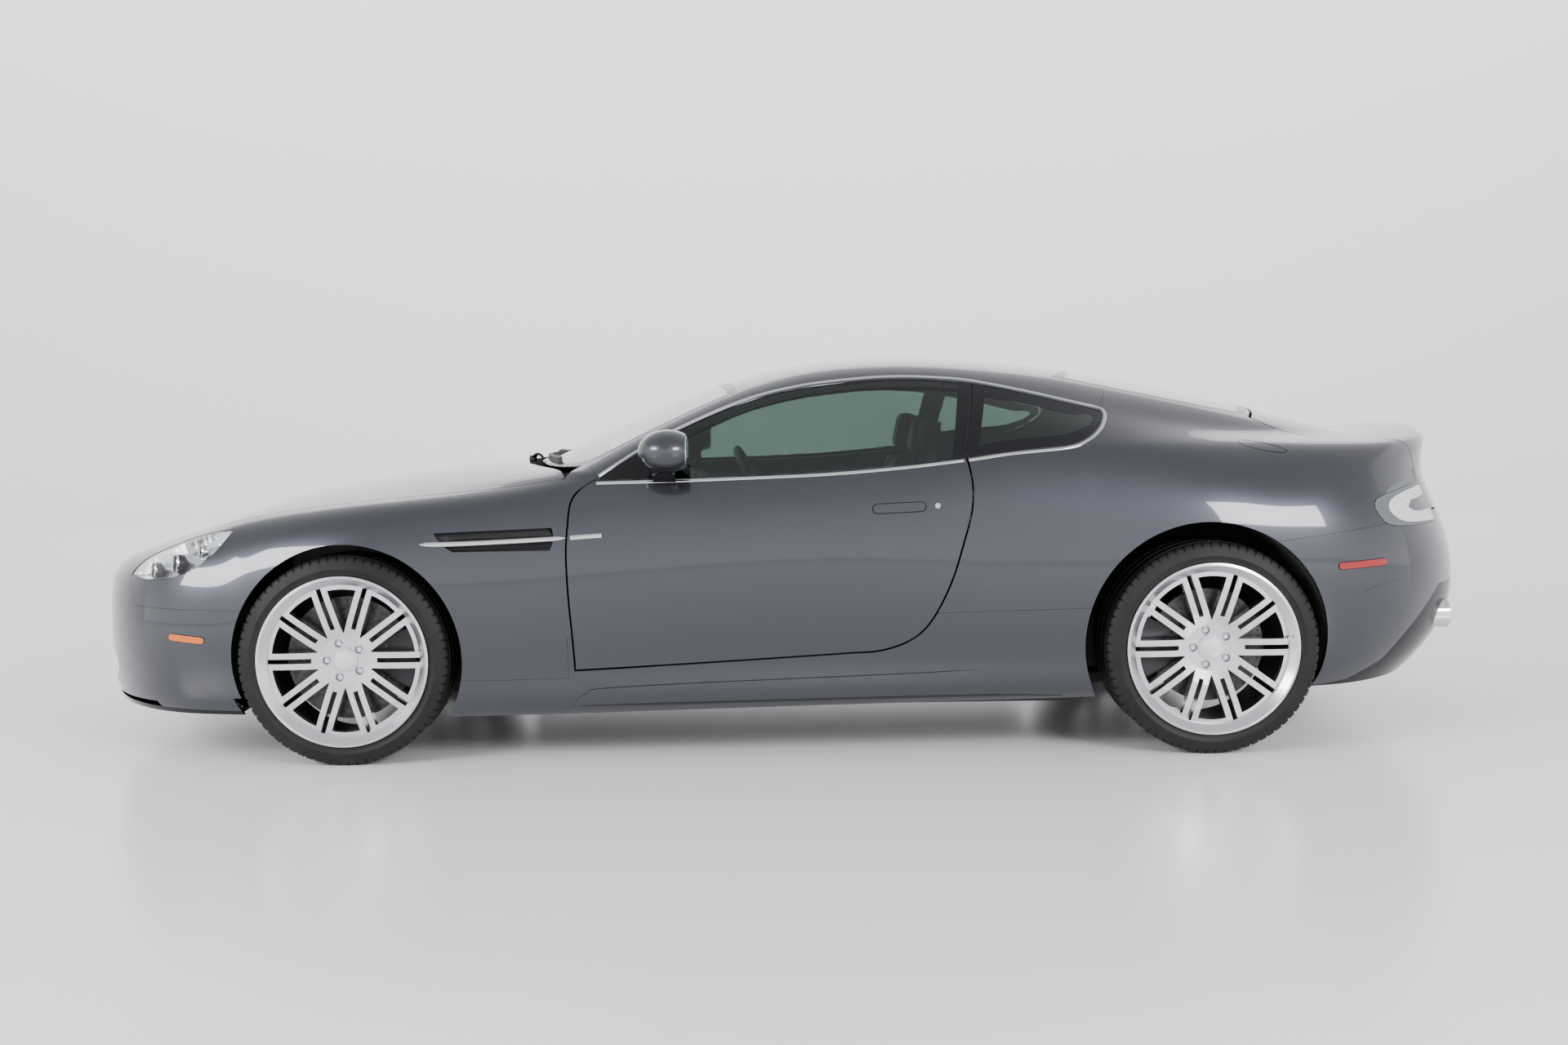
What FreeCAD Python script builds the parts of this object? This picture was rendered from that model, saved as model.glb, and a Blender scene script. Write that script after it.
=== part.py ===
# Two-door coupe: body panels on one smooth skin, opening doors and lids, steered and rolling wheels.
# Millimetres. +X points to the rear, +Y to the right-hand side, +Z up. Z = 0 is the road.

import FreeCAD
import Part
import Sketcher
import math
import os

Vector = FreeCAD.Vector
doc = FreeCAD.newDocument("coupe")

# Sizes

SIZES = [
    ("front_axle_x", -1390), ("wheelbase", 2740), ("front_track", 1568), ("rear_track", 1562),
    ("front_tyre_radius", 334), ("rear_tyre_radius", 336), ("front_tyre_width", 245),
    ("rear_tyre_width", 292), ("bead_radius", 258), ("bead_inset", 14), ("sidewall_bulge_drop", 38),
    ("shoulder_width", 16), ("running_fit", 0.3), ("flange_radius", 271.5), ("flange_thickness", 9),
    ("barrel_thickness", 13), ("spoke_pair_count", 10), ("spoke_pair_width", 52), ("spoke_slot_width", 15),
    ("spoke_slot_start", 104), ("window_outer_radius", 228), ("lip_inner_radius", 243), ("hub_radius", 88),
    ("nut_circle_radius", 57.15), ("nut_pocket_radius", 14.5), ("nut_pocket_depth", 26), ("nut_count", 5),
    ("hub_bore_radius", 35), ("front_disc_radius", 197), ("rear_disc_radius", 180), ("disc_thickness", 30),
    ("disc_hat_radius", 86), ("caliper_span_deg", 52), ("caliper_outer_radius", 226),
    ("caliper_inner_radius", 132), ("front_arch_radius", 368), ("rear_arch_radius", 384),
    ("front_well_radius", 402), ("front_well_x", -1385), ("front_arch_x", -1378), ("front_arch_z", 338),
    ("rear_arch_x", 1330), ("rear_arch_z", 354), ("panel_thickness", 30), ("door_thickness", 112),
    ("glass_set_in", 1.5), ("glass_thickness", 5), ("shut_gap", 6), ("boot_front_gap", 9),
    ("seam_gap", 0.8), ("hinge_x", -611), ("hinge_y", 893), ("hinge_height", 550), ("hinge_lean_deg", 3),
    ("hinge_pin_radius", 7), ("lower_hinge_z", 430), ("upper_hinge_z", 715), ("bonnet_axis_x", -668),
    ("bonnet_axis_z", 889), ("bonnet_eye_radius", 10.5), ("boot_axis_x", 1500), ("boot_axis_z", 1034),
    ("kingpin_y", 730), ("kingpin_lean_deg", 6), ("kingpin_caster_deg", 5), ("floor_bottom", 158),
    ("floor_thickness", 32), ("tunnel_half_width", 125), ("tunnel_top", 500), ("engine_length", 880),
    ("engine_width", 620), ("engine_height", 470), ("engine_front_x", -1700), ("engine_bottom", 236.3),
    ("steering_wheel_radius", 183), ("steering_rim_radius", 15), ("steering_wheel_x", -72),
    ("steering_wheel_y", -385), ("steering_wheel_z", 797), ("steering_rake_deg", 24), ("column_radius", 24),
    ("seat_width", 500), ("seat_y", 385), ("tailpipe_radius", 48), ("tailpipe_y", 560), ("tailpipe_z", 392),
    ("plate_hole_spacing", 177.8), ("plate_hole_radius", 3), ("plate_hole_z", 610),
]

sheet = doc.addObject("Spreadsheet::Sheet", "sizes")
sheet.Label = "sizes"
for line, (name, value) in enumerate(SIZES, start=1):
    sheet.set("A%d" % line, name)
    sheet.set("B%d" % line, str(value))
    sheet.setAlias("B%d" % line, name)
doc.recompute()


def size(name):
    return float(sheet.get(name))


REAR_AXLE_X = size("front_axle_x") + size("wheelbase")
FIT = size("running_fit")
SEAM = size("seam_gap")
SHUT = size("shut_gap")

# Outer skin
# Each line runs from nose to tail. Eight lines climb the side and close round the nose and the tail;
# six more cross the top to the middle. Together they are the net of a cubic spline surface.

# where each side line meets the middle of the nose and of the tail: (x, height)
NOSE = [(-2335, 165), (-2352, 195), (-2358, 270), (-2360, 350), (-2360, 430), (-2359, 500), (-2357, 555),
        (-2348, 597)]
TAIL = [(2190, 205), (2262, 270), (2335, 360), (2363, 455), (2361, 560), (2326, 700), (2232, 862),
        (2288, 974)]
# where each side line begins to turn round the corner
NOSE_CORNER = [-1760, -1755, -1750, -1750, -1750, -1750, -1760, -1780]
TAIL_CORNER = [1600, 1580, 1560, 1540, 1540, 1540, 1540, 1560]
CORNER_POWER = 2.15

# side lines between the corners: (x, half width, height)
SIDE = [
    # bottom edge
    [(-1760, 820, 158), (-1388, 850, 150), (-1010, 868, 150), (0, 870, 166), (960, 872, 182),
     (1352, 860, 190), (1600, 845, 198)],
    # skirt outer edge
    [(-1755, 850, 190), (-1388, 880, 185), (-1010, 905, 182), (0, 912, 204), (960, 920, 218),
     (1352, 907, 226), (1580, 890, 240)],
    # skirt crease
    [(-1750, 868, 270), (-1388, 903, 275), (-1010, 904, 270), (0, 893, 280), (960, 913, 296),
     (1352, 936, 318), (1560, 915, 330)],
    # lower door
    [(-1750, 880, 360), (-1388, 925, 385), (-1010, 920, 380), (0, 915, 395), (960, 938, 410),
     (1352, 955, 430), (1540, 935, 440)],
    # widest line
    [(-1750, 882, 455), (-1388, 938, 530), (-1010, 926, 530), (0, 928, 550), (960, 945, 560),
     (1352, 960, 570), (1540, 945, 560)],
    # upper side
    [(-1750, 870, 560), (-1388, 934, 670), (-1010, 920, 680), (0, 928, 700), (600, 932, 715),
     (960, 940, 735), (1352, 955, 745), (1540, 940, 730)],
    # shoulder
    [(-1760, 835, 665), (-1580, 870, 730), (-1388, 893, 768), (-1010, 890, 795), (-590, 896, 815),
     (0, 903, 830), (600, 905, 855), (960, 905, 872), (1352, 905, 880), (1540, 885, 860)],
    # wing crest and belt
    [(-1780, 765, 745), (-1580, 800, 790), (-1388, 815, 818), (-1010, 825, 845), (-700, 848, 872),
     (-590, 862, 884),
     (0, 867, 898), (586, 868, 936), (960, 860, 962), (1200, 838, 968), (1352, 815, 968), (1560, 780, 964)],
]

# top lines: (x, set-back of the line, half width, height)
TOP = [
    # foot of the side glass, edge of the bonnet
    [(-2348, 0.7, 0, 600), (-2250, 0, 400, 630), (-1980, 0, 610, 705), (-1780, 0, 690, 768),
     (-1580, 0, 715, 806),
     (-1388, 0, 725, 827), (-1010, 0, 750, 858), (-700, 0, 820, 888), (-590, 0, 848, 898), (0, 0, 850, 908),
     (586, 0, 850, 948), (908, 0, 838, 984), (1080, 0, 800, 1000), (1352, 0, 738, 990), (1560, 0, 700, 982),
     (1900, 0, 600, 976), (2040, 0, 500, 978), (2150, 0, 390, 990), (2240, 0, 240, 990),
     (2288, -0.7, 0, 976)],
    # middle of the side glass
    [(-2348, 1.4, 0, 601), (-2250, 0, 330, 634), (-1980, 0, 500, 716), (-1780, 0, 570, 780),
     (-1580, 0, 595, 820),
     (-1388, 0, 615, 842), (-1010, 0, 680, 876), (-700, -10, 790, 901), (-590, -15, 838, 908),
     (-444, 0, 830, 934),
     (-323, 0, 808, 970), (-116, 0, 780, 1020), (70, 0, 762, 1044), (386, 0, 755, 1065), (644, 0, 755, 1070),
     (813, 0, 752, 1066), (1008, 0, 735, 1050), (1200, 0, 690, 1030), (1400, 0, 650, 1005),
     (1560, 0, 620, 993),
     (1900, 0, 530, 982), (2040, 0, 440, 984), (2150, 0, 340, 1002), (2240, 0, 210, 1002),
     (2288, -1.4, 0, 978)],
    # top of the side glass, outer edge of the windscreen pillar
    [(-2348, 2.1, 0, 602), (-2250, 0, 250, 638), (-1980, 0, 390, 724), (-1780, 0, 450, 789),
     (-1580, 0, 475, 830),
     (-1388, 0, 500, 855), (-1010, 0, 600, 889), (-700, -30, 740, 911), (-590, -35, 820, 917),
     (-444, 0, 806, 980),
     (-323, 0, 765, 1045), (-116, 0, 695, 1128), (70, 0, 655, 1170), (256, 0, 638, 1190),
     (386, 0, 633, 1194),
     (644, 0, 636, 1174), (813, 0, 642, 1140), (1008, 0, 648, 1094), (1200, 0, 615, 1062),
     (1400, 0, 575, 1030),
     (1560, 0, 545, 1010), (1900, 0, 450, 988), (2040, 0, 370, 987), (2150, 0, 280, 1010),
     (2240, 0, 170, 1010), (2288, -2.1, 0, 980)],
    # edge of the windscreen, inner edge of the roof rail
    [(-2348, 2.8, 0, 603), (-2250, 0, 170, 641), (-1980, 0, 270, 730), (-1780, 0, 320, 797),
     (-1580, 0, 350, 840),
     (-1388, 0, 375, 866), (-1010, -30, 480, 902), (-700, -75, 660, 917), (-590, -90, 765, 922),
     (-444, -60, 748, 1003), (-323, -42, 705, 1068), (-116, -14, 612, 1172), (70, 0, 562, 1226),
     (256, 0, 545, 1246), (386, 0, 540, 1248), (644, 0, 538, 1232), (880, 12, 528, 1200),
     (1100, 20, 508, 1155),
     (1352, 25, 480, 1100), (1560, 25, 455, 1055), (1760, 22, 425, 1013), (1900, 15, 370, 990),
     (2040, 0, 300, 988), (2150, 0, 225, 1014), (2240, 0, 130, 1015), (2288, -2.8, 0, 982)],
    # half way to the middle
    [(-2348, 3.5, 0, 604), (-2250, 0, 85, 643), (-1980, 0, 140, 735), (-1780, 0, 170, 803),
     (-1580, 0, 185, 847),
     (-1388, -10, 200, 874), (-1010, -70, 255, 914), (-700, -175, 370, 927), (-590, -200, 430, 933),
     (-444, -160, 415, 1017), (-323, -125, 385, 1085), (-116, -50, 320, 1200), (70, -12, 290, 1252),
     (256, 0, 280, 1270), (386, 0, 277, 1273), (644, 10, 276, 1260), (880, 40, 272, 1230),
     (1100, 65, 262, 1183),
     (1352, 85, 250, 1124), (1560, 90, 238, 1075), (1760, 75, 225, 1030), (1900, 50, 200, 998),
     (2040, 0, 160, 990), (2150, 0, 120, 1016), (2240, 0, 68, 1018), (2288, -3.5, 0, 984)],
    # middle
    [(-2348, 4.2, 0, 605), (-2250, 0, 0, 644), (-1980, 0, 0, 737), (-1780, 0, 0, 806), (-1580, 0, 0, 850),
     (-1388, -12, 0, 877), (-1010, -90, 0, 918), (-700, -225, 0, 931), (-590, -262, 0, 937),
     (-444, -215, 0, 1022),
     (-323, -170, 0, 1090), (-116, -70, 0, 1207), (70, -18, 0, 1260), (256, 0, 0, 1279), (386, 0, 0, 1282),
     (644, 15, 0, 1268), (880, 55, 0, 1239), (1100, 90, 0, 1192), (1352, 115, 0, 1131), (1560, 120, 0, 1082),
     (1760, 100, 0, 1034), (1900, 65, 0, 1000), (2040, 0, 0, 990), (2150, 0, 0, 1017),
     (2240, 0, 0, 1019), (2288, -4.2, 0, 986)],
]
# how far each top line moves sideways and down, as shares of the inset, for the inner faces of the shell
TOP_SIDEWAYS = [0.9, 0.85, 0.7, 0.45, 0.12, 0]
TOP_DOWN = [0.45, 0.55, 0.75, 0.95, 1.05, 1.08]

ROWS = [-1700, -1600, -1490, -1388, -1280, -1160, -1030, -900, -780, -690, -640, -600, -560, -500, -420,
        -330,
        -220, -110, 20, 160, 320, 480, 640, 800, 940, 1070, 1200, 1352, 1470]
NOSE_ANGLES = [0, 9, 19, 30, 42, 54, 66, 78, 90]
TAIL_ANGLES = [90, 78, 66, 54, 42, 30, 19, 9, 0]


def smooth(xs, ys, x):
    """Monotone cubic through the knots, so that a line never overshoots its stations."""
    if x <= xs[0]:
        return ys[0]
    if x >= xs[-1]:
        return ys[-1]
    count = len(xs)
    steps = [xs[i + 1] - xs[i] for i in range(count - 1)]
    slopes = [(ys[i + 1] - ys[i]) / steps[i] for i in range(count - 1)]
    tangents = [slopes[0]] + [0.0] * (count - 2) + [slopes[-1]]
    for i in range(1, count - 1):
        if slopes[i - 1] * slopes[i] > 0:
            before = 2 * steps[i] + steps[i - 1]
            after = steps[i] + 2 * steps[i - 1]
            tangents[i] = (before + after) / (before / slopes[i - 1] + after / slopes[i])
    i = max(k for k in range(count - 1) if xs[k] <= x)
    t = (x - xs[i]) / steps[i]
    return (ys[i] * (1 + 2 * t) * (1 - t) ** 2 + tangents[i] * steps[i] * t * (1 - t) ** 2
            + ys[i + 1] * t * t * (3 - 2 * t) + tangents[i + 1] * steps[i] * t * t * (t - 1))


def side_point(number, kind, station, inset):
    line = SIDE[number]
    xs = [k[0] for k in line]
    widths = [k[1] for k in line]
    heights = [k[2] for k in line]
    lift = inset if number == 0 else 0.5 * inset if number == 1 else -0.3 * inset if number == 7 else 0
    if kind == "body":
        x = max(NOSE_CORNER[number] + 30, min(TAIL_CORNER[number] - 30, station))
        return (x, smooth(xs, widths, x) - inset, smooth(xs, heights, x) + lift)
    at_nose = kind == "nose"
    end_x, end_z = NOSE[number] if at_nose else TAIL[number]
    end_x += inset if at_nose else -inset
    corner_x = NOSE_CORNER[number] if at_nose else TAIL_CORNER[number]
    last = line[0] if at_nose else line[-1]
    turn = math.radians(station)
    x = corner_x + (end_x - corner_x) * math.cos(turn) ** (2 / CORNER_POWER)
    y = (last[1] - inset) * math.sin(turn) ** (2 / CORNER_POWER)
    t = (x - corner_x) / (end_x - corner_x)
    z = last[2] + (end_z - last[2]) * t * t * (3 - 2 * t)
    if number == 7:
        other = line[1] if at_nose else line[-2]
        slope = (last[2] - other[2]) / (last[0] - other[0])
        z += slope * (end_x - corner_x) * t * (1 - t) ** 2
    return (x, max(y, 0.0), z + lift)


def skin_net(inset):
    """Rows from nose to tail, each from the bottom edge of the right side up to the middle line."""
    rows = []
    for kind, stations in (("nose", NOSE_ANGLES), ("body", ROWS), ("tail", TAIL_ANGLES)):
        for station in stations:
            row = [side_point(number, kind, station, inset) for number in range(len(SIDE))]
            at = side_point(7, kind, station, 0)[0]
            # the rows of the top lines shorten with the inset, so that the net closes at nose and tail
            squeeze = (row[7][0] - at)
            for number, line in enumerate(TOP):
                xs = [k[0] for k in line]
                back = smooth(xs, [k[1] for k in line], at)
                wide = smooth(xs, [k[2] for k in line], at)
                high = smooth(xs, [k[3] for k in line], at)
                wide = max(0.0, wide - inset * TOP_SIDEWAYS[number] * min(1.0, wide / 120.0))
                row.append((at + squeeze + back, wide, high - inset * TOP_DOWN[number]))
            rows.append(row)
    return rows


def spline_knots(count):
    spans = count - 3
    return [float(k) for k in range(spans + 1)], [4] + [1] * (spans - 1) + [4]


def half_body(inset):
    """Solid of the right half of the skin, moved inwards by the inset."""
    rows = skin_net(inset)
    poles = []
    for row in rows:
        right = [Vector(*p) for p in row]
        left = [Vector(p[0], -p[1], p[2]) for p in reversed(row[:-1])]
        poles.append(right + left)
    u_knots, u_mults = spline_knots(len(poles))
    v_knots, v_mults = spline_knots(len(poles[0]))
    surface = Part.BSplineSurface()
    surface.buildFromPolesMultsKnots(poles, u_mults, v_mults, u_knots, v_knots, False, False, 3, 3)
    middle = v_knots[-1] / 2
    surface.segment(0, u_knots[-1], 0, middle)
    skin = surface.toShape()
    bottom = surface.vIso(0).toShape()
    keel_curve = Part.BSplineCurve()
    keel_poles = [Vector(row[0][0], 0, row[0][2]) for row in rows]
    keel_curve.buildFromPolesMultsKnots(keel_poles, u_mults, u_knots, False, 3)
    keel = keel_curve.toShape()
    under = Part.makeRuledSurface(bottom, keel)
    nose = surface.uIso(0).toShape()
    tail = surface.uIso(u_knots[-1]).toShape()
    crown = surface.vIso(middle).toShape()
    wall = Part.Face(Part.Wire(Part.__sortEdges__([keel, nose, tail, crown])))
    shell = Part.Shell([skin, under, wall])
    shell.sewShape()
    solid = Part.Solid(shell)
    if solid.Volume < 0:
        solid.reverse()
    return solid


# Outlines
# A loop is a list of segments that share their end points: two points make a line, more make a smooth curve.

def unit(dx, dy):
    length = math.hypot(dx, dy)
    return (dx / length, dy / length)


def moved_loop(loop, grow):
    """The loop with each segment moved outwards by its own amount, corners mitred."""
    amounts = grow if isinstance(grow, (list, tuple)) else [grow] * len(loop)
    area = 0.0
    for segment in loop:
        for a, b in zip(segment, segment[1:]):
            area += a[0] * b[1] - b[0] * a[1]
    turn = 1.0 if area > 0 else -1.0
    normals = []
    for segment in loop:
        last = len(segment) - 1
        row = []
        for i in range(last + 1):
            before = segment[max(0, i - 1)]
            after = segment[min(last, i + 1)]
            along = unit(after[0] - before[0], after[1] - before[1])
            row.append((along[1] * turn, -along[0] * turn))
        normals.append(row)
    result = []
    count = len(loop)
    for number, segment in enumerate(loop):
        points = []
        for i, point in enumerate(segment):
            n, g = normals[number][i], amounts[number]
            shift = (n[0] * g, n[1] * g)
            other = None
            if i == 0:
                other = (normals[number - 1][-1], amounts[number - 1])
            elif i == len(segment) - 1:
                other = (normals[(number + 1) % count][0], amounts[(number + 1) % count])
            if other:
                m, h = other
                cross = n[0] * m[1] - n[1] * m[0]
                if abs(cross) > 0.05:
                    shift = ((g * m[1] - h * n[1]) / cross, (h * n[0] - g * m[0]) / cross)
                else:
                    shift = ((shift[0] + m[0] * h) / 2, (shift[1] + m[1] * h) / 2)
            points.append((point[0] + shift[0], point[1] + shift[1]))
        result.append(points)
    return result


def in_space(plane, a, b, level):
    if plane == "side":
        return Vector(a, level, b)
    if plane == "top":
        return Vector(a, b, level)
    return Vector(level, a, b)


def prism(loop, plane, low, high, grow=0):
    """Solid with the loop as its outline: side (X, Z) along Y, top (X, Y) along Z, front (Y, Z) along X."""
    edges = []
    for segment in moved_loop(loop, grow):
        points = [in_space(plane, a, b, low) for a, b in segment]
        if len(points) == 2:
            edges.append(Part.makeLine(points[0], points[1]))
        else:
            curve = Part.BSplineCurve()
            curve.interpolate(points)
            edges.append(curve.toShape())
    face = Part.Face(Part.Wire(edges))
    return face.extrude(in_space(plane, 0, 0, high - low))


def polygon(points):
    """A closed loop of straight segments."""
    return [[a, b] for a, b in zip(points, points[1:] + points[:1])]


def box(x0, x1, y0, y1, z0, z1):
    return Part.makeBox(x1 - x0, y1 - y0, z1 - z0, Vector(x0, y0, z0))


def rod(start, end, radius):
    """Cylinder from one point to the other."""
    a = Vector(*start)
    b = Vector(*end)
    return Part.makeCylinder(radius, (b - a).Length, a, b - a)


def cut_each(shape, tools):
    """Cut with one tool after the other."""
    for tool in tools:
        shape = shape.cut(tool)
    return shape


def mirrored(shape):
    return shape.mirror(Vector(0, 0, 0), Vector(0, 1, 0))


def whole(half):
    """The half piece joined to its mirror image across the middle plane."""
    return half.fuse(mirrored(half)).removeSplitter()


def pair(half):
    return Part.makeCompound([half, mirrored(half)])


def solids_of(shape, smallest=2000.0):
    """Solids of a shape without slivers."""
    kept = [s for s in shape.Solids if s.Volume > smallest]
    return kept[0] if len(kept) == 1 else Part.makeCompound(kept)


# Outlines of the panels, right-hand side

DOOR_FRONT = [(-586, 890), (-622, 868), (-650, 840), (-665, 769), (-671, 697), (-671, 617), (-667, 527),
              (-660, 427), (-653, 300)]
DOOR_BOTTOM = [(-653, 300), (-200, 320), (235, 343)]
DOOR_REAR = [(235, 343), (360, 363), (429, 402), (475, 459), (502, 509), (539, 598), (566, 687), (589, 767),
             (598, 840), (594, 893), (583, 944)]
BELT_FRONT = [(583, 944), (369, 922), (109, 905), (-296, 894), (-586, 890)]
DOOR = [DOOR_FRONT, DOOR_BOTTOM, DOOR_REAR, BELT_FRONT]

RAIL_FRONT = [(-586, 890), (-456, 971), (-323, 1043), (-116, 1128), (70, 1172), (256, 1192), (386, 1197),
              (510, 1192), (632, 1179)]
RAIL_REAR = [(632, 1179), (813, 1141), (940, 1110), (1040, 1086)]
WINDOW_TIP = [(1040, 1086), (1047, 1070), (1022, 1035), (975, 1002), (908, 979)]
BELT_REAR = [(908, 979), (728, 963), (583, 944)]
WINDOWS = [RAIL_FRONT, RAIL_REAR, WINDOW_TIP, BELT_REAR, BELT_FRONT]
POST_LINE = [(632, 1179), (583, 944)]
DOOR_WINDOW = [RAIL_FRONT, POST_LINE, BELT_FRONT]
QUARTER_WINDOW = [RAIL_REAR, WINDOW_TIP, BELT_REAR, [(583, 944), (632, 1179)]]

BONNET = [
    [(-2272, -200), (-2288, 0), (-2272, 200), (-2215, 335)],
    [(-2215, 335), (-2110, 455), (-1980, 552), (-1850, 636), (-1745, 688)],
    [(-1745, 688), (-1580, 718), (-1388, 733), (-1010, 757), (-800, 786), (-689, 803)],
    [(-689, 803), (-711, 730), (-768, 590), (-840, 400), (-884, 180), (-893, 0), (-884, -200)],
    [(-884, -200), (-2272, -200)],
]
WINDSCREEN = [
    [(-836, -200), (-848, 0), (-836, 200), (-790, 430), (-722, 610), (-642, 728)],
    [(-642, 728), (-608, 733), (-500, 722), (-365, 680), (-240, 632), (-140, 592)],
    [(-140, 592), (-152, 480), (-175, 300), (-194, 130), (-198, 0), (-192, -200)],
    [(-192, -200), (-836, -200)],
]
REAR_SCREEN = [
    [(985, -200), (992, 0), (985, 150), (958, 330), (915, 470)],
    [(915, 470), (1100, 478), (1352, 456), (1500, 436), (1580, 414)],
    [(1580, 414), (1615, 300), (1638, 150), (1644, 0), (1636, -200)],
    [(1636, -200), (985, -200)],
]
BOOT_LID = [
    [(1652, -200), (1660, 0), (1654, 150), (1631, 300), (1592, 440)],
    [(1592, 440), (1680, 506), (1790, 542), (1920, 556), (2060, 556), (2500, 540)],
    [(2500, 540), (2500, -200)],
    [(2500, -200), (1652, -200)],
]
BOOT_LID_BOTTOM = 742
HEADLAMP = [
    [(-2129, 598), (-2089, 642), (-2000, 684), (-1919, 714), (-1840, 735), (-1759, 746)],
    [(-1759, 746), (-1790, 700), (-1829, 657), (-1905, 613), (-2017, 591), (-2129, 598)],
]
TAIL_LAMP = [
    [(1926, 768), (1932, 800), (1975, 832), (2052, 850), (2092, 884), (2108, 930)],
    [(2108, 930), (2400, 930)],
    [(2400, 930), (2400, 716)],
    [(2400, 716), (2126, 711), (2040, 706), (1966, 712), (1932, 740), (1926, 768)],
]
FRONT_BUMPER = polygon([(-2600, 0), (-2600, 800), (-2200, 800), (-2150, 620), (-2092, 504), (-1735, 498),
                        (-1500, 498), (-1500, 0)])
SPLITTER = polygon([(-2600, 0), (-2600, 188), (-2320, 186), (-1763, 170), (-1500, 168), (-1500, 0)])
SKIRT = polygon([(-1400, 100), (-1400, 277), (-954, 268), (-677, 272), (-677, 400), (400, 420), (473, 463),
                 (1350, 480), (1350, 100)])
REAR_BUMPER = polygon([(1200, 0), (1200, 650), (1578, 676), (1896, 712), (2000, 722), (2600, 736),
                       (2600, 0)])
DIFFUSER = polygon([(1500, 0), (1500, 192), (1718, 203), (1801, 216), (1919, 272), (2159, 500), (2600, 500),
                    (2600, 0)])
GRILLE = [
    [(-100, 392), (430, 398)],
    [(430, 398), (462, 420), (474, 452), (462, 486)],
    [(462, 486), (400, 516), (320, 536), (262, 556), (226, 576)],
    [(226, 576), (-100, 580)],
    [(-100, 580), (-100, 392)],
]
LOWER_INTAKE = [
    [(-100, 226), (520, 230)],
    [(520, 230), (566, 262), (580, 300), (552, 326)],
    [(552, 326), (-100, 334)],
    [(-100, 334), (-100, 226)],
]
SIDE_VENT = [
    [(-1090, 736), (-719, 748)],
    [(-719, 748), (-716, 700), (-726, 677)],
    [(-726, 677), (-1030, 677)],
    [(-1030, 677), (-1066, 704), (-1090, 736)],
]

# Skins at each depth

thickness = size("panel_thickness")
SKIN = half_body(0)
GLASS_OUTER = half_body(size("glass_set_in"))
GLASS_INNER = half_body(size("glass_set_in") + size("glass_thickness"))
PANEL_INNER = half_body(thickness)
WALL_INNER = half_body(size("door_thickness"))
PANEL_BACK = half_body(thickness - 2)

outer_shell = SKIN.cut(PANEL_INNER)
glass_shell = GLASS_OUTER.cut(GLASS_INNER)

# Cutting bodies

door_cut = prism(DOOR, "side", 400, 1100, SHUT)
window_cut = prism(WINDOWS, "side", 400, 1100)
bonnet_cut = prism(BONNET, "top", 480, 1300, SHUT)
windscreen_cut = prism(WINDSCREEN, "top", 860, 1300, FIT)
rear_screen_cut = prism(REAR_SCREEN, "top", 860, 1300, FIT)
boot_cut = prism(BOOT_LID, "top", BOOT_LID_BOTTOM - SHUT, 1300, [size("boot_front_gap"), SHUT, 0, 0])
headlamp_cut = prism(HEADLAMP, "side", 300, 1100, SEAM)
tail_lamp_cut = prism(TAIL_LAMP, "side", 572, 1100, SEAM)
grille_cut = prism(GRILLE, "front", -2500, -2150)
intake_cut = prism(LOWER_INTAKE, "front", -2500, -2150)
vent_cut = prism(SIDE_VENT, "side", 850, 1100)
cowl_cut = prism([BONNET[3], [(-884, -200), (-836, -200)], WINDSCREEN[0], [(-642, 728), (-689, 803)]], "top",
                 800, 1300, 7)


def arch_cylinder(x, z, radius, inner):
    return rod((x, inner, z), (x, 1200, z), radius)


front_arch = arch_cylinder(size("front_arch_x"), size("front_arch_z"), size("front_arch_radius"), 470)
rear_arch = arch_cylinder(size("rear_arch_x"), size("rear_arch_z"), size("rear_arch_radius"), 470)

body_shell = cut_each(outer_shell, [window_cut, door_cut, bonnet_cut, windscreen_cut, rear_screen_cut,
                                    boot_cut,
                                    front_arch, rear_arch, cowl_cut])

# Body panels


def split(source, region, gap_region):
    """The part of the source inside the region, and the rest beyond the seam."""
    return source.common(region), source.cut(gap_region)


def side_region(loop, grow=0.0):
    return prism(loop, "side", -50, 1200, grow)


front_well = arch_cylinder(size("front_well_x"), size("front_arch_z"), size("front_well_radius"), 462)
wheel_room = front_well.common(half_body(14))
front_well = front_well.common(PANEL_INNER)


def layer(outer, inner, region):
    """The part of the shell between two depths that lies in a region."""
    return half_body(outer).common(region).cut(half_body(inner))


splitter_arch = arch_cylinder(size("front_well_x"), size("front_arch_z"), size("front_arch_radius") + 18,
                              462)
splitter_well = arch_cylinder(size("front_well_x"), size("front_arch_z"), size("front_well_radius"), 462)
splitter_well = splitter_well.common(box(-1900, -900, 400, 812, 0, 400))
splitter_half = cut_each(SKIN, [splitter_arch, splitter_well]).common(side_region(SPLITTER))
splitter_half = splitter_half.common(box(-2400, -1640, -1, 1000, 0, 400))
rest = body_shell.cut(side_region(SPLITTER, SEAM))
bumper_half, rest = split(rest, side_region(FRONT_BUMPER), side_region(FRONT_BUMPER, SEAM))
bumper_half = cut_each(bumper_half, [grille_cut, intake_cut, headlamp_cut, wheel_room,
                                     splitter_arch.common(box(-1900, -1500, 400, 1000, 0, 215)),
                                     box(-2290, -1400, -1, 760, 140, 196)])
rest = rest.cut(side_region(SKIRT, SEAM))
rest = rest.cut(side_region(DIFFUSER, SEAM))
rear_bumper_half, rest = split(rest, side_region(REAR_BUMPER), side_region(REAR_BUMPER, SEAM))
rear_bumper_half = cut_each(rear_bumper_half, [tail_lamp_cut, box(1200, 1720, -1, 780, 0, 262)])

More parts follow.
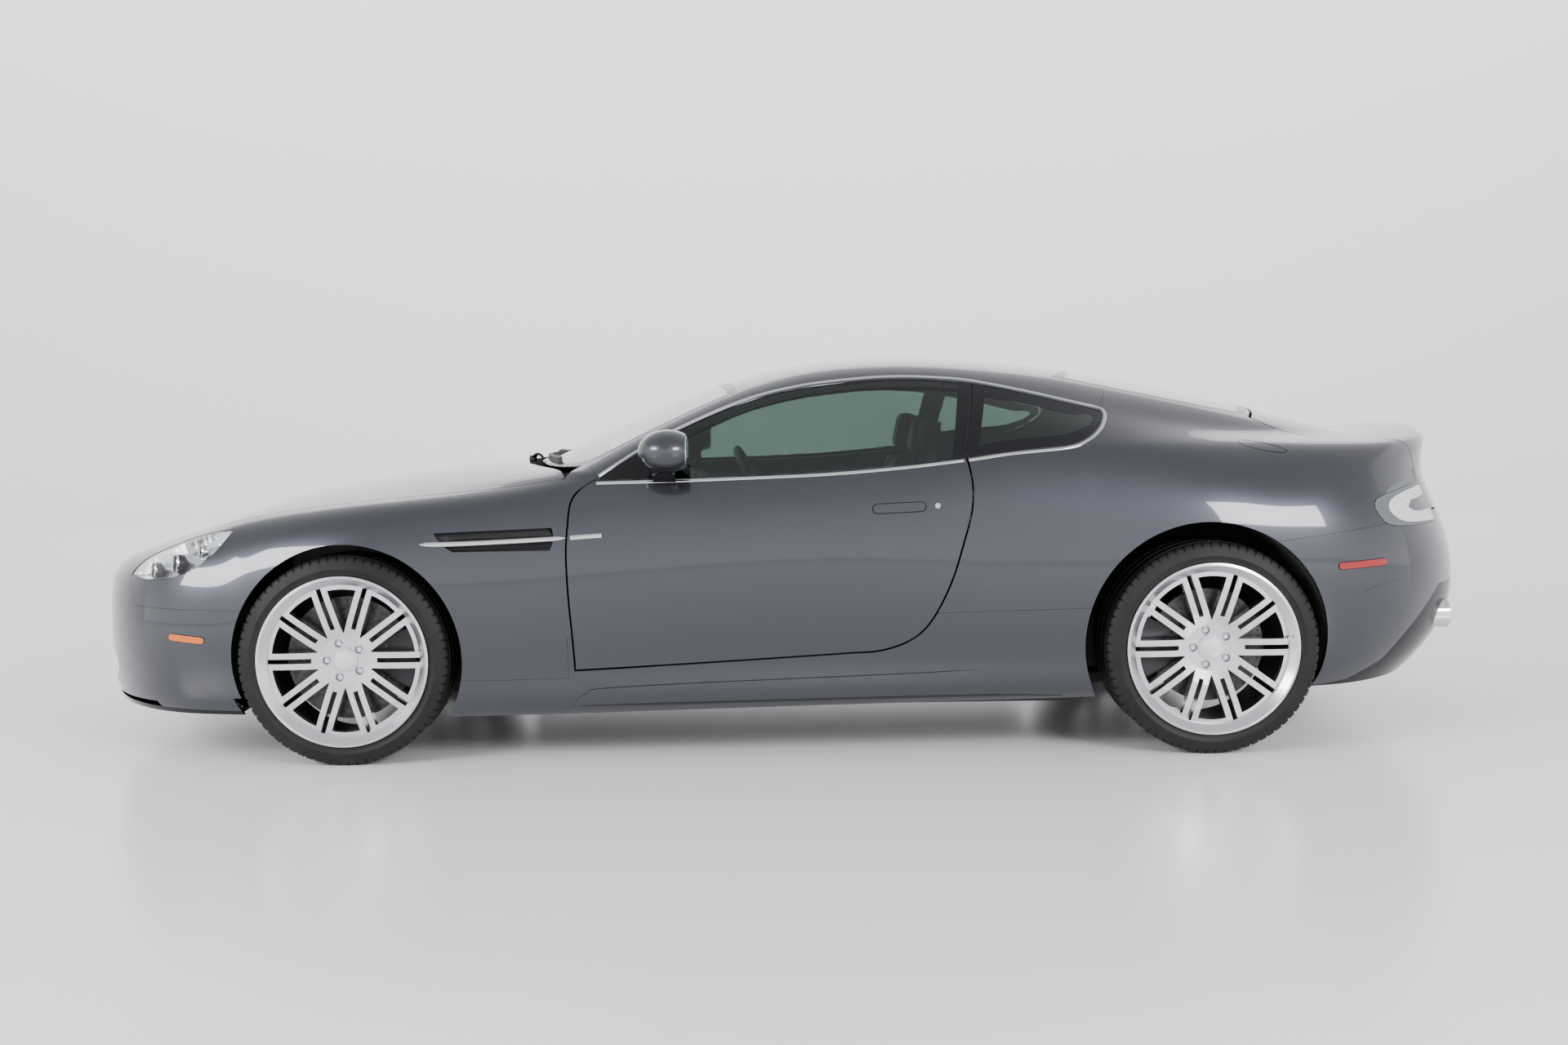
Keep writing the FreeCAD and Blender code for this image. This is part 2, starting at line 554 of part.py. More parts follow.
pillar_region = polygon([(-570, 885), (-614, 952), (-700, 1300), (-185, 1300), (-150, 1213), (-80, 1156),
                         (-80, 885)])
pillar_half, rest = split(rest, side_region(pillar_region), side_region(pillar_region, SEAM))
roof_region = polygon([(-185, 1302), (-150, 1213), (-80, 1154), (-80, 1060), (1020, 1060), (1038, 1091),
                       (1074, 1137), (1110, 1300)])
roof_half, rest = split(rest, side_region(roof_region), side_region(roof_region, SEAM))
wing_half = cut_each(rest.common(box(-2300, -500, -1, 1200, 200, 1300)), [headlamp_cut, vent_cut])
quarter_half = rest.common(box(300, 2400, -1, 1200, 0, 1300)).cut(tail_lamp_cut)

# the wing stays thin where the front edge of the door swings behind it
hinge_sweep = rod((size("hinge_x"), size("hinge_y"), 180), (size("hinge_x"), size("hinge_y"), 1000), 84)
wing_half = wing_half.cut(hinge_sweep.common(half_body(9)))

# trim of the cabin side behind the door
rear_trim = PANEL_BACK.cut(WALL_INNER).common(box(640, 940, 500, 1000, 230, 900))
rear_trim = cut_each(rear_trim, [window_cut, rear_arch, side_region(SKIRT, FIT)])
quarter_half = quarter_half.fuse(rear_trim)

skirt_half = SKIN.common(side_region(SKIRT)).common(box(-1400, 1350, 795, 1100, 100, 500))
skirt_half = cut_each(skirt_half, [door_cut, front_arch, front_well, rear_arch,
                                   hinge_sweep.common(box(-900, -300, 0, 1000, 262,
                                                          900)).common(half_body(9))])

diffuser_half = body_shell.common(side_region(DIFFUSER))

# Doors: a skin to the shut line, and a deeper box set back from it that carries the trim and the hinges

door_skin = outer_shell.common(prism(DOOR, "side", 400, 1100))
door_box = PANEL_BACK.cut(WALL_INNER).common(prism(DOOR, "side", 400, 1100, [-86, -30, -52, -14]))
door_half = solids_of(door_skin).fuse(solids_of(door_box))
armrest = box(-215, 330, 742, 900, 585, 632).common(WALL_INNER)
door_half = door_half.fuse(armrest)


def hinge_placed(shape):
    """Lean a shape, drawn upright about the Z axis, onto the leaning hinge line of the right-hand door."""
    shape = shape.copy()
    shape.rotate(Vector(0, 0, 0), Vector(1, 0, 0), size("hinge_lean_deg"))
    shape.translate(Vector(size("hinge_x"), size("hinge_y"), size("hinge_height")))
    return shape


neck_parts = []
for hinge_z in (size("lower_hinge_z"), size("upper_hinge_z")):
    along = (hinge_z - size("hinge_height")) / math.cos(math.radians(size("hinge_lean_deg")))
    pin = rod((0, 0, along - 40), (0, 0, along + 40), size("hinge_pin_radius"))
    neck = box(-9, 9, -84, 9, along - 13, along + 13)
    bar = box(-120, 11, -96, -72, along - 13, along + 13)
    neck_parts.append(hinge_placed(pin.fuse([neck, bar])))
    for low in (along - 37, along + 13 + FIT):
        leaf = box(-12, 40, -14, 12, low, low + 23.7)
        leaf = leaf.cut(rod((0, 0, low - 1), (0, 0, low + 40), size("hinge_pin_radius") + FIT))
        door_half = door_half.fuse(hinge_placed(leaf))
for hinge_z in (size("lower_hinge_z"), size("upper_hinge_z")):
    along = (hinge_z - size("hinge_height")) / math.cos(math.radians(size("hinge_lean_deg")))
    pocket = rod((0, 0, along - 14.5), (0, 0, along + 13.2), 14.5)
    pocket = pocket.fuse([box(-75, 17, -120, -1, along - 14.5, along + 13.2),
                          box(-75, 0, -2, 3.5, along - 14.5, along + 13.2)])
    door_half = door_half.cut(hinge_placed(pocket))
    door_half = door_half.cut(hinge_placed(rod((0, 0, along - 42), (0, 0, along + 42),
                                               size("hinge_pin_radius") + FIT)))
door_half = solids_of(door_half)

door_glass_half = solids_of(glass_shell.common(prism(DOOR_WINDOW, "side", 400, 1100, [-SHUT, -4, -0.2])))

# Mirrors

MIRROR_CENTRE = (-350, 934, 984)
MIRROR_RADII = (92, 96, 66)


def ellipsoid(centre, radii):
    ball = Part.makeSphere(1.0)
    stretch = FreeCAD.Matrix()
    stretch.scale(Vector(*radii))
    ball = ball.transformGeometry(stretch)
    ball.translate(Vector(*centre))
    return ball


mirror_half = ellipsoid(MIRROR_CENTRE, MIRROR_RADII).cut(box(-292, -200, 700, 1100, 800, 1200))
ARM = [(840, 880), (880, 884), (905, 905), (965, 925), (965, 950), (900, 950), (868, 925), (840, 925)]
mirror_arm = prism(polygon(ARM), "front", -400, -330)
mirror_half = mirror_half.fuse(mirror_arm)
mirror_half = solids_of(mirror_half.cut(SKIN), 20000)

# Bonnet and boot lid

bonnet_half = solids_of(outer_shell.common(prism(BONNET, "top", 560, 1300)))
bonnet_arm = prism(polygon([(-800, 886), (-712, 890), (-684, 896), (-668, 899), (-668, 879), (-690, 866),
                            (-800, 862)]), "side", 745, 766)
bonnet_arm = bonnet_arm.fuse(rod((size("bonnet_axis_x"), 745, size("bonnet_axis_z")),
                                 (size("bonnet_axis_x"), 766, size("bonnet_axis_z")),
                                 size("bonnet_eye_radius")))
bonnet_arm = bonnet_arm.common(half_body(4))
bonnet_arm = bonnet_arm.cut(rod((size("bonnet_axis_x"), 700, size("bonnet_axis_z")),
                                (size("bonnet_axis_x"), 800, size("bonnet_axis_z")), 4.5 + FIT))
bonnet_half = bonnet_half.fuse(bonnet_arm)

boot_half = solids_of(outer_shell.common(prism(BOOT_LID, "top", BOOT_LID_BOTTOM, 1300)))
BOOT_NECK = [(1486, 1048), (1514, 1048), (1514, 936), (1618, 936), (1634, 980), (1640, 1044), (1700, 1034),
             (1678, 924), (1656, 902), (1504, 902), (1486, 920)]
boot_neck = prism(polygon(BOOT_NECK), "side", 380, 396)
boot_neck = boot_neck.cut(rod((size("boot_axis_x"), 360, size("boot_axis_z")),
                              (size("boot_axis_x"), 420, size("boot_axis_z")), 8 + FIT))
boot_neck = boot_neck.common(half_body(8))
boot_half = boot_half.fuse(boot_neck)

# Glass

windscreen_half = solids_of(glass_shell.common(prism(WINDSCREEN, "top", 860, 1300)))
rear_screen_half = solids_of(glass_shell.common(prism(REAR_SCREEN, "top", 860, 1300)))
quarter_glass_half = solids_of(glass_shell.common(prism(QUARTER_WINDOW, "side", 400, 1100,
                                                        [-FIT, -FIT, -FIT, -2])))

# Lamps: a block behind the skin with a clear cover in front

lamp_shell = GLASS_OUTER.cut(half_body(60))
headlamp_half = solids_of(lamp_shell.common(prism(HEADLAMP, "side", 300, 1100)).cut(bonnet_cut))
tail_lamp_half = solids_of(cut_each(lamp_shell.common(prism(TAIL_LAMP, "side", 572 + SEAM, 1100)),
                                    [boot_cut]))

# Grille: blades across the upper opening, a plate behind the lower one

blades = []
for step in range(5):
    level = 420 + 33 * step
    blades.append(box(-2400, -2100, -1, 470, level, level + 9).common(grille_cut))
blades = layer(6, 26, Part.makeCompound(blades))
grille_back = layer(26, 29, prism(GRILLE, "front", -2400, -2150, -FIT))
intake_plate = layer(22, 28, prism(LOWER_INTAKE, "front", -2400, -2150, -FIT))
grille_half = Part.makeCompound([solids_of(grille_back.fuse(blades)), solids_of(intake_plate)])

# Underbody: floor, tunnel, bulkheads, boot tub and wheel-arch liners

floor_low = size("floor_bottom")
floor_high = floor_low + size("floor_thickness")
FLOOR = polygon([(-1639, -60), (-1639, 455), (-965, 455), (-965, 780), (925, 780), (925, 455), (1499, 455),
                 (1499, -60)])
floor_half = prism(FLOOR, "top", floor_low, floor_high)
sill_wall = box(-965, 925, 780, 794.5, floor_low, 262)
tunnel = box(-560, 960, -60, size("tunnel_half_width"), floor_low, size("tunnel_top"))
tunnel = tunnel.cut(box(-700, 1000, -60, size("tunnel_half_width") - 20, 100, size("tunnel_top") - 20))
floor_half = floor_half.cut(box(-600, 1000, -60, size("tunnel_half_width") - 20, 100, 300)).fuse([tunnel,
                                                                                                  sill_wall])
floor_half = floor_half.common(box(-2400, 2400, -0.001, 1200, 0, 1300))

firewall = box(-745, -727, -0.001, 780, floor_high, 846).common(half_body(40))
hinge_post = box(-745, -705, 760, 1000, 276, 846).common(half_body(34))
cowl_tray = box(-900, -600, -0.001, 860, 846, 858).common(PANEL_INNER)
cowl_tray = cowl_tray.cut(box(-701, -500, 785, 1000, 800, 900))
bonnet_bracket = box(size("bonnet_axis_x") - 12, size("bonnet_axis_x") + 5, 766.4, 775, 857,
                     size("bonnet_axis_z") + 6)
bonnet_pin = rod((size("bonnet_axis_x"), 745, size("bonnet_axis_z")),
                 (size("bonnet_axis_x"), 775, size("bonnet_axis_z")), 4.5)
bulkhead_half = firewall.fuse([hinge_post, cowl_tray, bonnet_bracket, bonnet_pin])
for neck in neck_parts:
    bulkhead_half = bulkhead_half.fuse(neck)

rear_wall = box(965, 983, -0.001, 790, floor_high, 868).common(half_body(40)).cut(rear_arch)
rear_wall = rear_wall.cut(box(900, 1000, -60, size("tunnel_half_width") + 0, 100, size("tunnel_top")))
shelf = box(965, 1570, -0.001, 800, 868, 880).common(half_body(34))
TUB = polygon([(1470, -60), (1470, 455), (1730, 455), (1730, 600), (1930, 590), (1965, 492), (2180, 484),
               (2230, 420), (2230, -60)])
tub = prism(TUB, "top", 420, 900).cut(prism(TUB, "top", 432, 1000, -12))
tub = tub.cut(box(1400, 1500, -100, 600, 868, 1000)).common(half_body(32))
tub = tub.common(box(1400, 2400, -0.001, 700, 400, 900))
boot_bracket = box(size("boot_axis_x") - 16, size("boot_axis_x") + 16, 396.4, 408, 875,
                   size("boot_axis_z") + 12)
boot_pin = rod((size("boot_axis_x"), 380, size("boot_axis_z")),
               (size("boot_axis_x"), 408, size("boot_axis_z")), 8)
rear_structure_half = rear_wall.fuse([shelf, tub, boot_bracket, boot_pin])


def arch_liner(x, z, radius, opening):
    ring = arch_cylinder(x, z, radius + 9, 462).cut(arch_cylinder(x, z, radius + 1, 470))
    ring = ring.common(box(-2300, 2300, 400, 1200, 192, 1300))
    ring = ring.cut(arch_cylinder(x, z, opening, 400))
    return ring.common(PANEL_INNER)


front_liner = arch_liner(size("front_well_x"), size("front_arch_z"), size("front_well_radius"), 190)
rear_liner = arch_liner(size("rear_arch_x"), size("rear_arch_z"), size("rear_arch_radius"), 150)
front_liner = front_liner.cut(floor_half).cut(skirt_half).cut(bonnet_cut)
rear_liner = cut_each(rear_liner, [floor_half, rear_structure_half, skirt_half])
liner_half = Part.makeCompound([solids_of(front_liner), solids_of(rear_liner)])


# Wheels, drawn about the origin with the outer face towards +Y

def rim_shape(tyre_width, tyre_radius):
    half_width = tyre_width / 2
    bead = half_width - size("bead_inset")
    barrel = size("bead_radius") - FIT
    inner = barrel - size("barrel_thickness")
    flange = size("flange_radius")
    lip = size("flange_thickness")
    face = half_width - 4
    # the flange leans with the side of the tyre
    slope = size("bead_inset") / (tyre_radius - size("sidewall_bulge_drop") - size("bead_radius"))
    seat = bead + 2 * FIT + (flange - size("bead_radius")) * slope
    profile = [(inner, -seat - lip), (flange, -seat - lip), (flange, -seat), (barrel, -bead - 2 * FIT),
               (barrel, bead + 2 * FIT), (flange, seat), (flange, seat + lip - 2), (flange - 8, seat + lip),
               (size("lip_inner_radius"), bead - 6), (size("lip_inner_radius"), bead - 34),
               (inner, bead - 46)]
    barrel_solid = turned(profile)
    hub_back = face - 74
    spokes = [(size("hub_bore_radius"), hub_back), (76, hub_back), (inner + 3, bead - 42),
              (inner + 3, bead - 16),
              (200, bead - 12), (120, face - 26), (76, face - 36), (40, face - 38), (40, face - 30),
              (0, face - 28), (0, face - 44), (size("hub_bore_radius"), face - 44)]
    spider = turned(spokes)
    bars = []
    slots = []
    count = int(size("spoke_pair_count"))
    for k in range(count):
        angle = 360.0 * k / count
        bar = box(0, 300, -150, 150, -size("spoke_pair_width") / 2, size("spoke_pair_width") / 2)
        bar.rotate(Vector(0, 0, 0), Vector(0, 1, 0), angle)
        bars.append(bar)
        slot = box(size("spoke_slot_start"), size("lip_inner_radius") - 2, -150, 150,
                   -size("spoke_slot_width") / 2, size("spoke_slot_width") / 2)
        slot.rotate(Vector(0, 0, 0), Vector(0, 1, 0), angle)
        slots.append(slot)
    ring = rod((0, -150, 0), (0, 150, 0), size("window_outer_radius"))
    ring = ring.cut(rod((0, -160, 0), (0, 160, 0), size("hub_radius")))
    windows = ring.cut(bars)
    spider = spider.cut(windows).cut(slots)
    pockets = []
    for k in range(int(size("nut_count"))):
        turn = math.radians(180 + 360.0 * k / size("nut_count"))
        x = size("nut_circle_radius") * math.cos(turn)
        z = size("nut_circle_radius") * math.sin(turn)
        depth = face - 36 - size("nut_pocket_depth")
        pockets.append(rod((x, depth, z), (x, 150, z), size("nut_pocket_radius")))
        pockets.append(rod((x, -150, z), (x, 150, z), 7.2))
    spider = spider.cut(pockets)
    return barrel_solid.fuse(spider)


def turned(profile):
    """Solid of revolution about the Y axis from a closed (radius, y) outline."""
    points = [Vector(r, y, 0) for r, y in profile]
    wire = Part.makePolygon(points + [points[0]])
    return Part.Face(wire).revolve(Vector(0, 0, 0), Vector(0, 1, 0), 360)


def hub_face(tyre_width):
    return tyre_width / 2 - 4 - 74


def upright_shape(tyre_width, caliper_side):
    """Hub carrier, stub axle and kingpin post of the right-hand front wheel, wheel centre at the origin."""
    seat = hub_face(tyre_width)
    carrier = rod((0, -96, 0), (0, seat - 66, 0), 62)
    stub = rod((0, -96, 0), (0, seat + 26, 0), size("hub_bore_radius") - FIT)
    mount = box(min(0, caliper_side * 215), max(0, caliper_side * 215), seat - 96, seat - 78, -38, 38)
    return carrier.fuse([stub, mount])


def caliper_shape(tyre_width, disc_radius, middle_deg):
    """Caliper that straddles the disc; its middle points to the given angle in the X-Z plane."""
    seat = hub_face(tyre_width)
    outer = seat + 1
    inner = seat - 78
    profile = [(size("caliper_inner_radius"), inner), (size("caliper_outer_radius"), inner),
               (size("caliper_outer_radius"), outer - 8), (size("caliper_outer_radius") - 8, outer),
               (size("caliper_inner_radius"), outer - 14)]
    points = [Vector(r, y, 0) for r, y in profile]
    face = Part.Face(Part.makePolygon(points + [points[0]]))
    span = size("caliper_span_deg")
    body = face.revolve(Vector(0, 0, 0), Vector(0, 1, 0), span)
    body.rotate(Vector(0, 0, 0), Vector(0, 1, 0), -span / 2)
    disc_room = rod((0, seat - 26 - size("disc_thickness") - 4, 0), (0, seat - 22, 0), disc_radius + 4)
    body = body.cut(disc_room)
    body.rotate(Vector(0, 0, 0), Vector(0, 1, 0), -middle_deg)
    return body


nodes = []


def add_node(label, shape, slot, body):
    """A document object for one named piece."""
    if label in [n[0] for n in nodes]:
        raise ValueError("two pieces named " + label)
    piece = doc.addObject("Part::Feature", label)
    piece.Label = label
    piece.Shape = shape
    nodes.append((label, piece, slot, body))
    return piece


def right_wheel(shape, axle_x, axle_z, track):
    shape = shape.copy()
    shape.translate(Vector(axle_x, track / 2, axle_z))
    return shape


# Tyres and discs are drawn from sketches of half their section, turned about the axle

def turned_body(label, corners):
    """A revolved body whose sketch corners are set by expressions: (radius, distance along the axle)."""
    body = doc.addObject("PartDesign::Body", label)
    sketch = body.newObject("Sketcher::SketchObject", label + "_section")
    plane = [f for f in body.Origin.OriginFeatures if f.Role == "XY_Plane"][0]
    sketch.AttachmentSupport = [(plane, "")]
    sketch.MapMode = "FlatFace"
    doc.recompute()
    values = []
    for radius, along in corners:
        sheet.set("D1", "=" + radius)
        sheet.set("D2", "=" + along)
        doc.recompute()
        values.append((float(sheet.get("D1")), float(sheet.get("D2"))))
    sheet.clear("D1")
    sheet.clear("D2")
    count = len(corners)
    for i in range(count):
        a = values[i]
        b = values[(i + 1) % count]
        sketch.addGeometry(Part.LineSegment(Vector(a[0], a[1], 0), Vector(b[0], b[1], 0)), False)
    for i in range(count):
        sketch.addConstraint(Sketcher.Constraint("Coincident", i, 2, (i + 1) % count, 1))
    for i, (radius, along) in enumerate(corners):
        across = sketch.addConstraint(Sketcher.Constraint("DistanceX", -1, 1, i, 1, values[i][0]))
        sketch.setExpression("Constraints[%d]" % across, radius)
        up = sketch.addConstraint(Sketcher.Constraint("DistanceY", -1, 1, i, 1, values[i][1]))
        sketch.setExpression("Constraints[%d]" % up, along)
    turn = body.newObject("PartDesign::Revolution", label + "_turn")
    turn.Profile = sketch
    turn.ReferenceAxis = (sketch, ["V_Axis"])
    turn.Angle = 360
    body.Tip = turn
    doc.recompute()
    return body


def tyre_corners(end):
    radius = "sizes.%s_tyre_radius" % end
    half = "sizes.%s_tyre_width / 2" % end
    bead = "(%s - sizes.bead_inset)" % half
    return [
        ("sizes.bead_radius", "-" + bead), ("sizes.bead_radius", bead),
        (radius + " - sizes.sidewall_bulge_drop", half), (radius, half + " - sizes.shoulder_width"),
        (radius, "-(" + half + " - sizes.shoulder_width)"),
        (radius + " - sizes.sidewall_bulge_drop", "-" + half),
    ]


def disc_corners(end):
    seat = "(sizes.%s_tyre_width / 2 - 78)" % end
    outer = "sizes.%s_disc_radius" % end
    return [
        ("sizes.hub_bore_radius", seat + " - sizes.running_fit"),
        ("sizes.disc_hat_radius", seat + " - sizes.running_fit"), ("sizes.disc_hat_radius", seat + " - 26"),
        (outer, seat + " - 26"), (outer, seat + " - 26 - sizes.disc_thickness"),
        ("sizes.disc_hat_radius - 8", seat + " - 26 - sizes.disc_thickness"),
        ("sizes.disc_hat_radius - 8", seat + " - 8"), ("sizes.hub_bore_radius", seat + " - 8"),
    ]


AXLES = {
    "front": (size("front_axle_x"), size("front_tyre_radius"), size("front_track"), size("front_tyre_width"),
              size("front_disc_radius")),
    "rear": (REAR_AXLE_X, size("rear_tyre_radius"), size("rear_track"), size("rear_tyre_width"),
             size("rear_disc_radius")),
}
SIDES = {"left": -1, "right": 1}

for end, (axle_x, radius, track, width, disc_radius) in AXLES.items():
    rim = right_wheel(rim_shape(width, radius), axle_x, radius, track)
    for side, sign in SIDES.items():
        wheel = "wheel_%s_%s" % (end, side)
        place = FreeCAD.Placement(Vector(axle_x, sign * track / 2, radius), FreeCAD.Rotation())
        if sign < 0:
            place.Rotation = FreeCAD.Rotation(Vector(0, 0, 1), 180)
        for kind, corners, slot in (("tyre", tyre_corners(end), "tyre"),
                                    ("disc", disc_corners(end), "iron")):
            label = "%s_%s_%s" % (kind, end, side)
            body = turned_body(label, corners)
            body.Placement = place
            nodes.append((label, body, slot, wheel))
        add_node("rim_%s_%s" % (end, side), rim if sign > 0 else mirrored(rim), "alloy", wheel)

# Front uprights with their calipers, turning about leaning kingpins

lean = math.radians(size("kingpin_lean_deg"))
caster = math.radians(size("kingpin_caster_deg"))
KINGPIN = Vector(math.tan(caster), -math.tan(lean), 1)
KINGPIN.normalize()
axle_x, radius, track, width, disc_radius = AXLES["front"]
kingpin_foot = Vector(axle_x, size("kingpin_y"), radius)


def along_kingpin(low, high, radius_here):
    start = kingpin_foot + KINGPIN * low
    return Part.makeCylinder(radius_here, high - low, start, KINGPIN)


post = along_kingpin(-112, 112, 19)
upright = right_wheel(upright_shape(width, 1), axle_x, radius, track).fuse(post)
disc_clear = right_wheel(rod((0, hub_face(width) - 62, 0), (0, hub_face(width) - 20, 0), 205), axle_x,
                         radius, track)
upright = upright.cut(disc_clear.cut(right_wheel(rod((0, -200, 0), (0, 200, 0),
                                                     size("hub_bore_radius") - FIT),
                                                 axle_x, radius, track)))
front_caliper = right_wheel(caliper_shape(width, disc_radius, 0), axle_x, radius, track)
upright = upright.cut(front_caliper)
for side, sign in SIDES.items():
    body = "upright_%s" % side
    add_node("upright_front_%s" % side, upright if sign > 0 else mirrored(upright), "cast", body)
    add_node("caliper_front_%s" % side, front_caliper if sign > 0 else mirrored(front_caliper), "dark", body)

# Suspension arms and subframes

front_frame = box(axle_x - 150, axle_x + 150, -0.001, 430, floor_high + FIT, 236)
front_frame = front_frame.fuse(box(axle_x - 60, axle_x + 60, 360, 430, 192, 520))
low_ball = kingpin_foot + KINGPIN * -124
high_ball = kingpin_foot + KINGPIN * 124
for ball, spread in ((low_ball, 130), (high_ball, 52)):
    for shift in (-spread, spread):
        front_frame = front_frame.fuse(rod((axle_x + shift, 415, ball.z - 2), (ball.x, ball.y, ball.z), 13))
front_frame = front_frame.fuse(along_kingpin(-140, -112 - FIT, 24)).fuse(along_kingpin(112 + FIT, 140, 24))
front_frame = front_frame.cut(along_kingpin(-112 - FIT, 112 + FIT, 60))

axle_x, radius, track, width, disc_radius = AXLES["rear"]
rear_upright = right_wheel(upright_shape(width, -1), axle_x, radius, track)
rear_caliper = right_wheel(caliper_shape(width, disc_radius, 180), axle_x, radius, track)
disc_clear = right_wheel(rod((0, hub_face(width) - 62, 0), (0, hub_face(width) - 20, 0), 190), axle_x,
                         radius, track)
rear_upright = rear_upright.cut(disc_clear.cut(right_wheel(rod((0, -200, 0), (0, 200, 0),
                                                               size("hub_bore_radius") - FIT),
                                                           axle_x, radius, track)))
rear_upright = rear_upright.cut(rear_caliper)
rear_frame = box(axle_x - 170, axle_x + 130, -0.001, 420, floor_high + FIT, 250)
rear_frame = rear_frame.fuse(box(axle_x - 50, axle_x + 50, 330, 400, 240, 400))
rear_frame = rear_frame.fuse(rear_upright)
for level in (-46, 46):
    for shift in (-60, 60):
        rear_frame = rear_frame.fuse(rod((axle_x + shift * 0.6, 385, radius + level - 24),
                                         (axle_x, track / 2 - 80, radius + level), 14))
subframe_nodes = [whole(front_frame), whole(rear_frame)]
add_node("subframe_front", subframe_nodes[0], "dark", "body")
add_node("subframe_rear", subframe_nodes[1], "dark", "body")
add_node("calipers_rear", pair(rear_caliper), "dark", "body")

# Engine as one plain block

engine = doc.addObject("Part::Box", "engine")
engine.Label = "engine"
engine.setExpression("Length", "sizes.engine_length")
engine.setExpression("Width", "sizes.engine_width")
engine.setExpression("Height", "sizes.engine_height")
engine.setExpression("Placement.Base.x", "sizes.engine_front_x")
engine.setExpression("Placement.Base.y", "-sizes.engine_width / 2")
engine.setExpression("Placement.Base.z", "sizes.engine_bottom")
nodes.append(("engine", engine, "cast", "body"))

# Cabin

DASH = [
    [(-726, 846), (-726, 540)],
    [(-726, 540), (-470, 540), (-360, 560)],
    [(-360, 560), (-300, 640), (-262, 720), (-250, 800)],
    [(-250, 800), (-330, 846), (-480, 868), (-600, 866), (-726, 846)],
]
dash_half = prism(DASH, "side", -0.001, 759.5).common(half_body(size("door_thickness") + 13))
dash_half = dash_half.cut(box(-800, -598, -1, 900, 845.7, 1000))
dashboard = whole(dash_half)
rake = math.radians(size("steering_rake_deg"))
WHEEL_AXIS = Vector(math.cos(rake), 0, math.sin(rake))
wheel_centre = Vector(size("steering_wheel_x"), size("steering_wheel_y"), size("steering_wheel_z"))
column_start = wheel_centre - WHEEL_AXIS * 330
column = Part.makeCylinder(size("column_radius"), 330 - 38, column_start, WHEEL_AXIS)
cowl = Part.makeCylinder(46, 160, wheel_centre - WHEEL_AXIS * 260, WHEEL_AXIS)
spindle = Part.makeCylinder(9, 330 - 10, column_start, WHEEL_AXIS)
binnacle = prism([[(-560, 846), (-540, 905), (-470, 926), (-360, 918), (-300, 880)],
                  [(-300, 880), (-300, 790)],
                  [(-300, 790), (-560, 800)], [(-560, 800), (-560, 846)]], "side", -560, -210)
dashboard = dashboard.fuse([column, cowl, spindle, binnacle])
add_node("dashboard", dashboard, "trim", "body")

console_half = box(-330, 640, -0.001, 118, size("tunnel_top"), 585).cut(box(-120, 300, -0.001, 60, 560, 600))
console_half = console_half.fuse(prism(polygon([(-420, 540), (-300, 540), (-300, 640), (-360, 640)]), "side",
                                       -0.001, 118)).cut(dash_half)
add_node("centre_console", whole(console_half), "trim", "body")

ring = Part.makeTorus(size("steering_wheel_radius"), size("steering_rim_radius"), Vector(0, 0, 0),
                      Vector(0, 0, 1))
hub = Part.makeCylinder(58, 44, Vector(0, 0, -26), Vector(0, 0, 1))
hub = hub.fuse([box(-176, 176, -17, 17, -9, 9), box(-17, 17, -176, 0, -9, 9)])
hub = hub.cut(Part.makeCylinder(9 + FIT, 24, Vector(0, 0, -34), Vector(0, 0, 1)))
wheel = ring.fuse(hub)
wheel.rotate(Vector(0, 0, 0), Vector(0, 0, 1), 90)
wheel.rotate(Vector(0, 0, 0), Vector(0, 1, 0), 90 - size("steering_rake_deg"))
wheel.translate(wheel_centre)
add_node("steering_wheel", wheel, "leather", "steering_wheel")

SEAT = [
    [(-190, 300), (-205, 400), (-180, 455)],
    [(-180, 455), (-60, 452), (80, 425), (235, 425)],
    [(235, 425), (300, 560), (368, 760), (420, 930)],
    [(420, 930), (440, 1010), (452, 1080), (500, 1098), (540, 1070)],
    [(540, 1070), (538, 980), (505, 860), (430, 600), (395, 300)],
    [(395, 300), (-190, 300)],
]
seat_width = size("seat_width")


def seat_shape(loop, width, ears):
    body = prism(loop, "side", -width / 2, width / 2)
    for low in (-width / 2 - 1, width / 2 - ears):
        body = body.cut(box(200, 700, low, low + ears + 1, 905, 1200))
    return body


seat = seat_shape(SEAT, seat_width, 130)
seat.translate(Vector(0, size("seat_y"), 0))
seat_rails = box(-150, 350, size("seat_y") - 215, size("seat_y") - 175, floor_high, 299.7)
seat_rails = seat_rails.fuse(box(-150, 350, size("seat_y") + 175, size("seat_y") + 215, floor_high, 299.7))
seat_rails = seat_rails.fuse(box(-150, 350, size("seat_y") - 215, size("seat_y") + 215, 262, 299.7))
add_node("front_seats", pair(seat), "leather", "body")
add_node("seat_rails", pair(seat_rails), "dark", "body")

REAR_SEAT = [
    [(640, 300), (632, 400), (660, 428)],
    [(660, 428), (760, 408), (850, 404)],
    [(850, 404), (870, 520), (905, 700), (925, 800)],
    [(925, 800), (964, 790)],
    [(964, 790), (964, 300)],
    [(964, 300), (640, 300)],
]
rear_seat = prism(REAR_SEAT, "side", 150, 560).fuse(box(640, 964, 150, 560, floor_high + FIT, 300))
rear_seat = rear_seat.cut(arch_cylinder(size("rear_arch_x"), size("rear_arch_z"),
                                        size("rear_arch_radius") + 10, 461))
add_node("rear_seats", pair(rear_seat), "leather", "body")

# Tailpipes and wipers

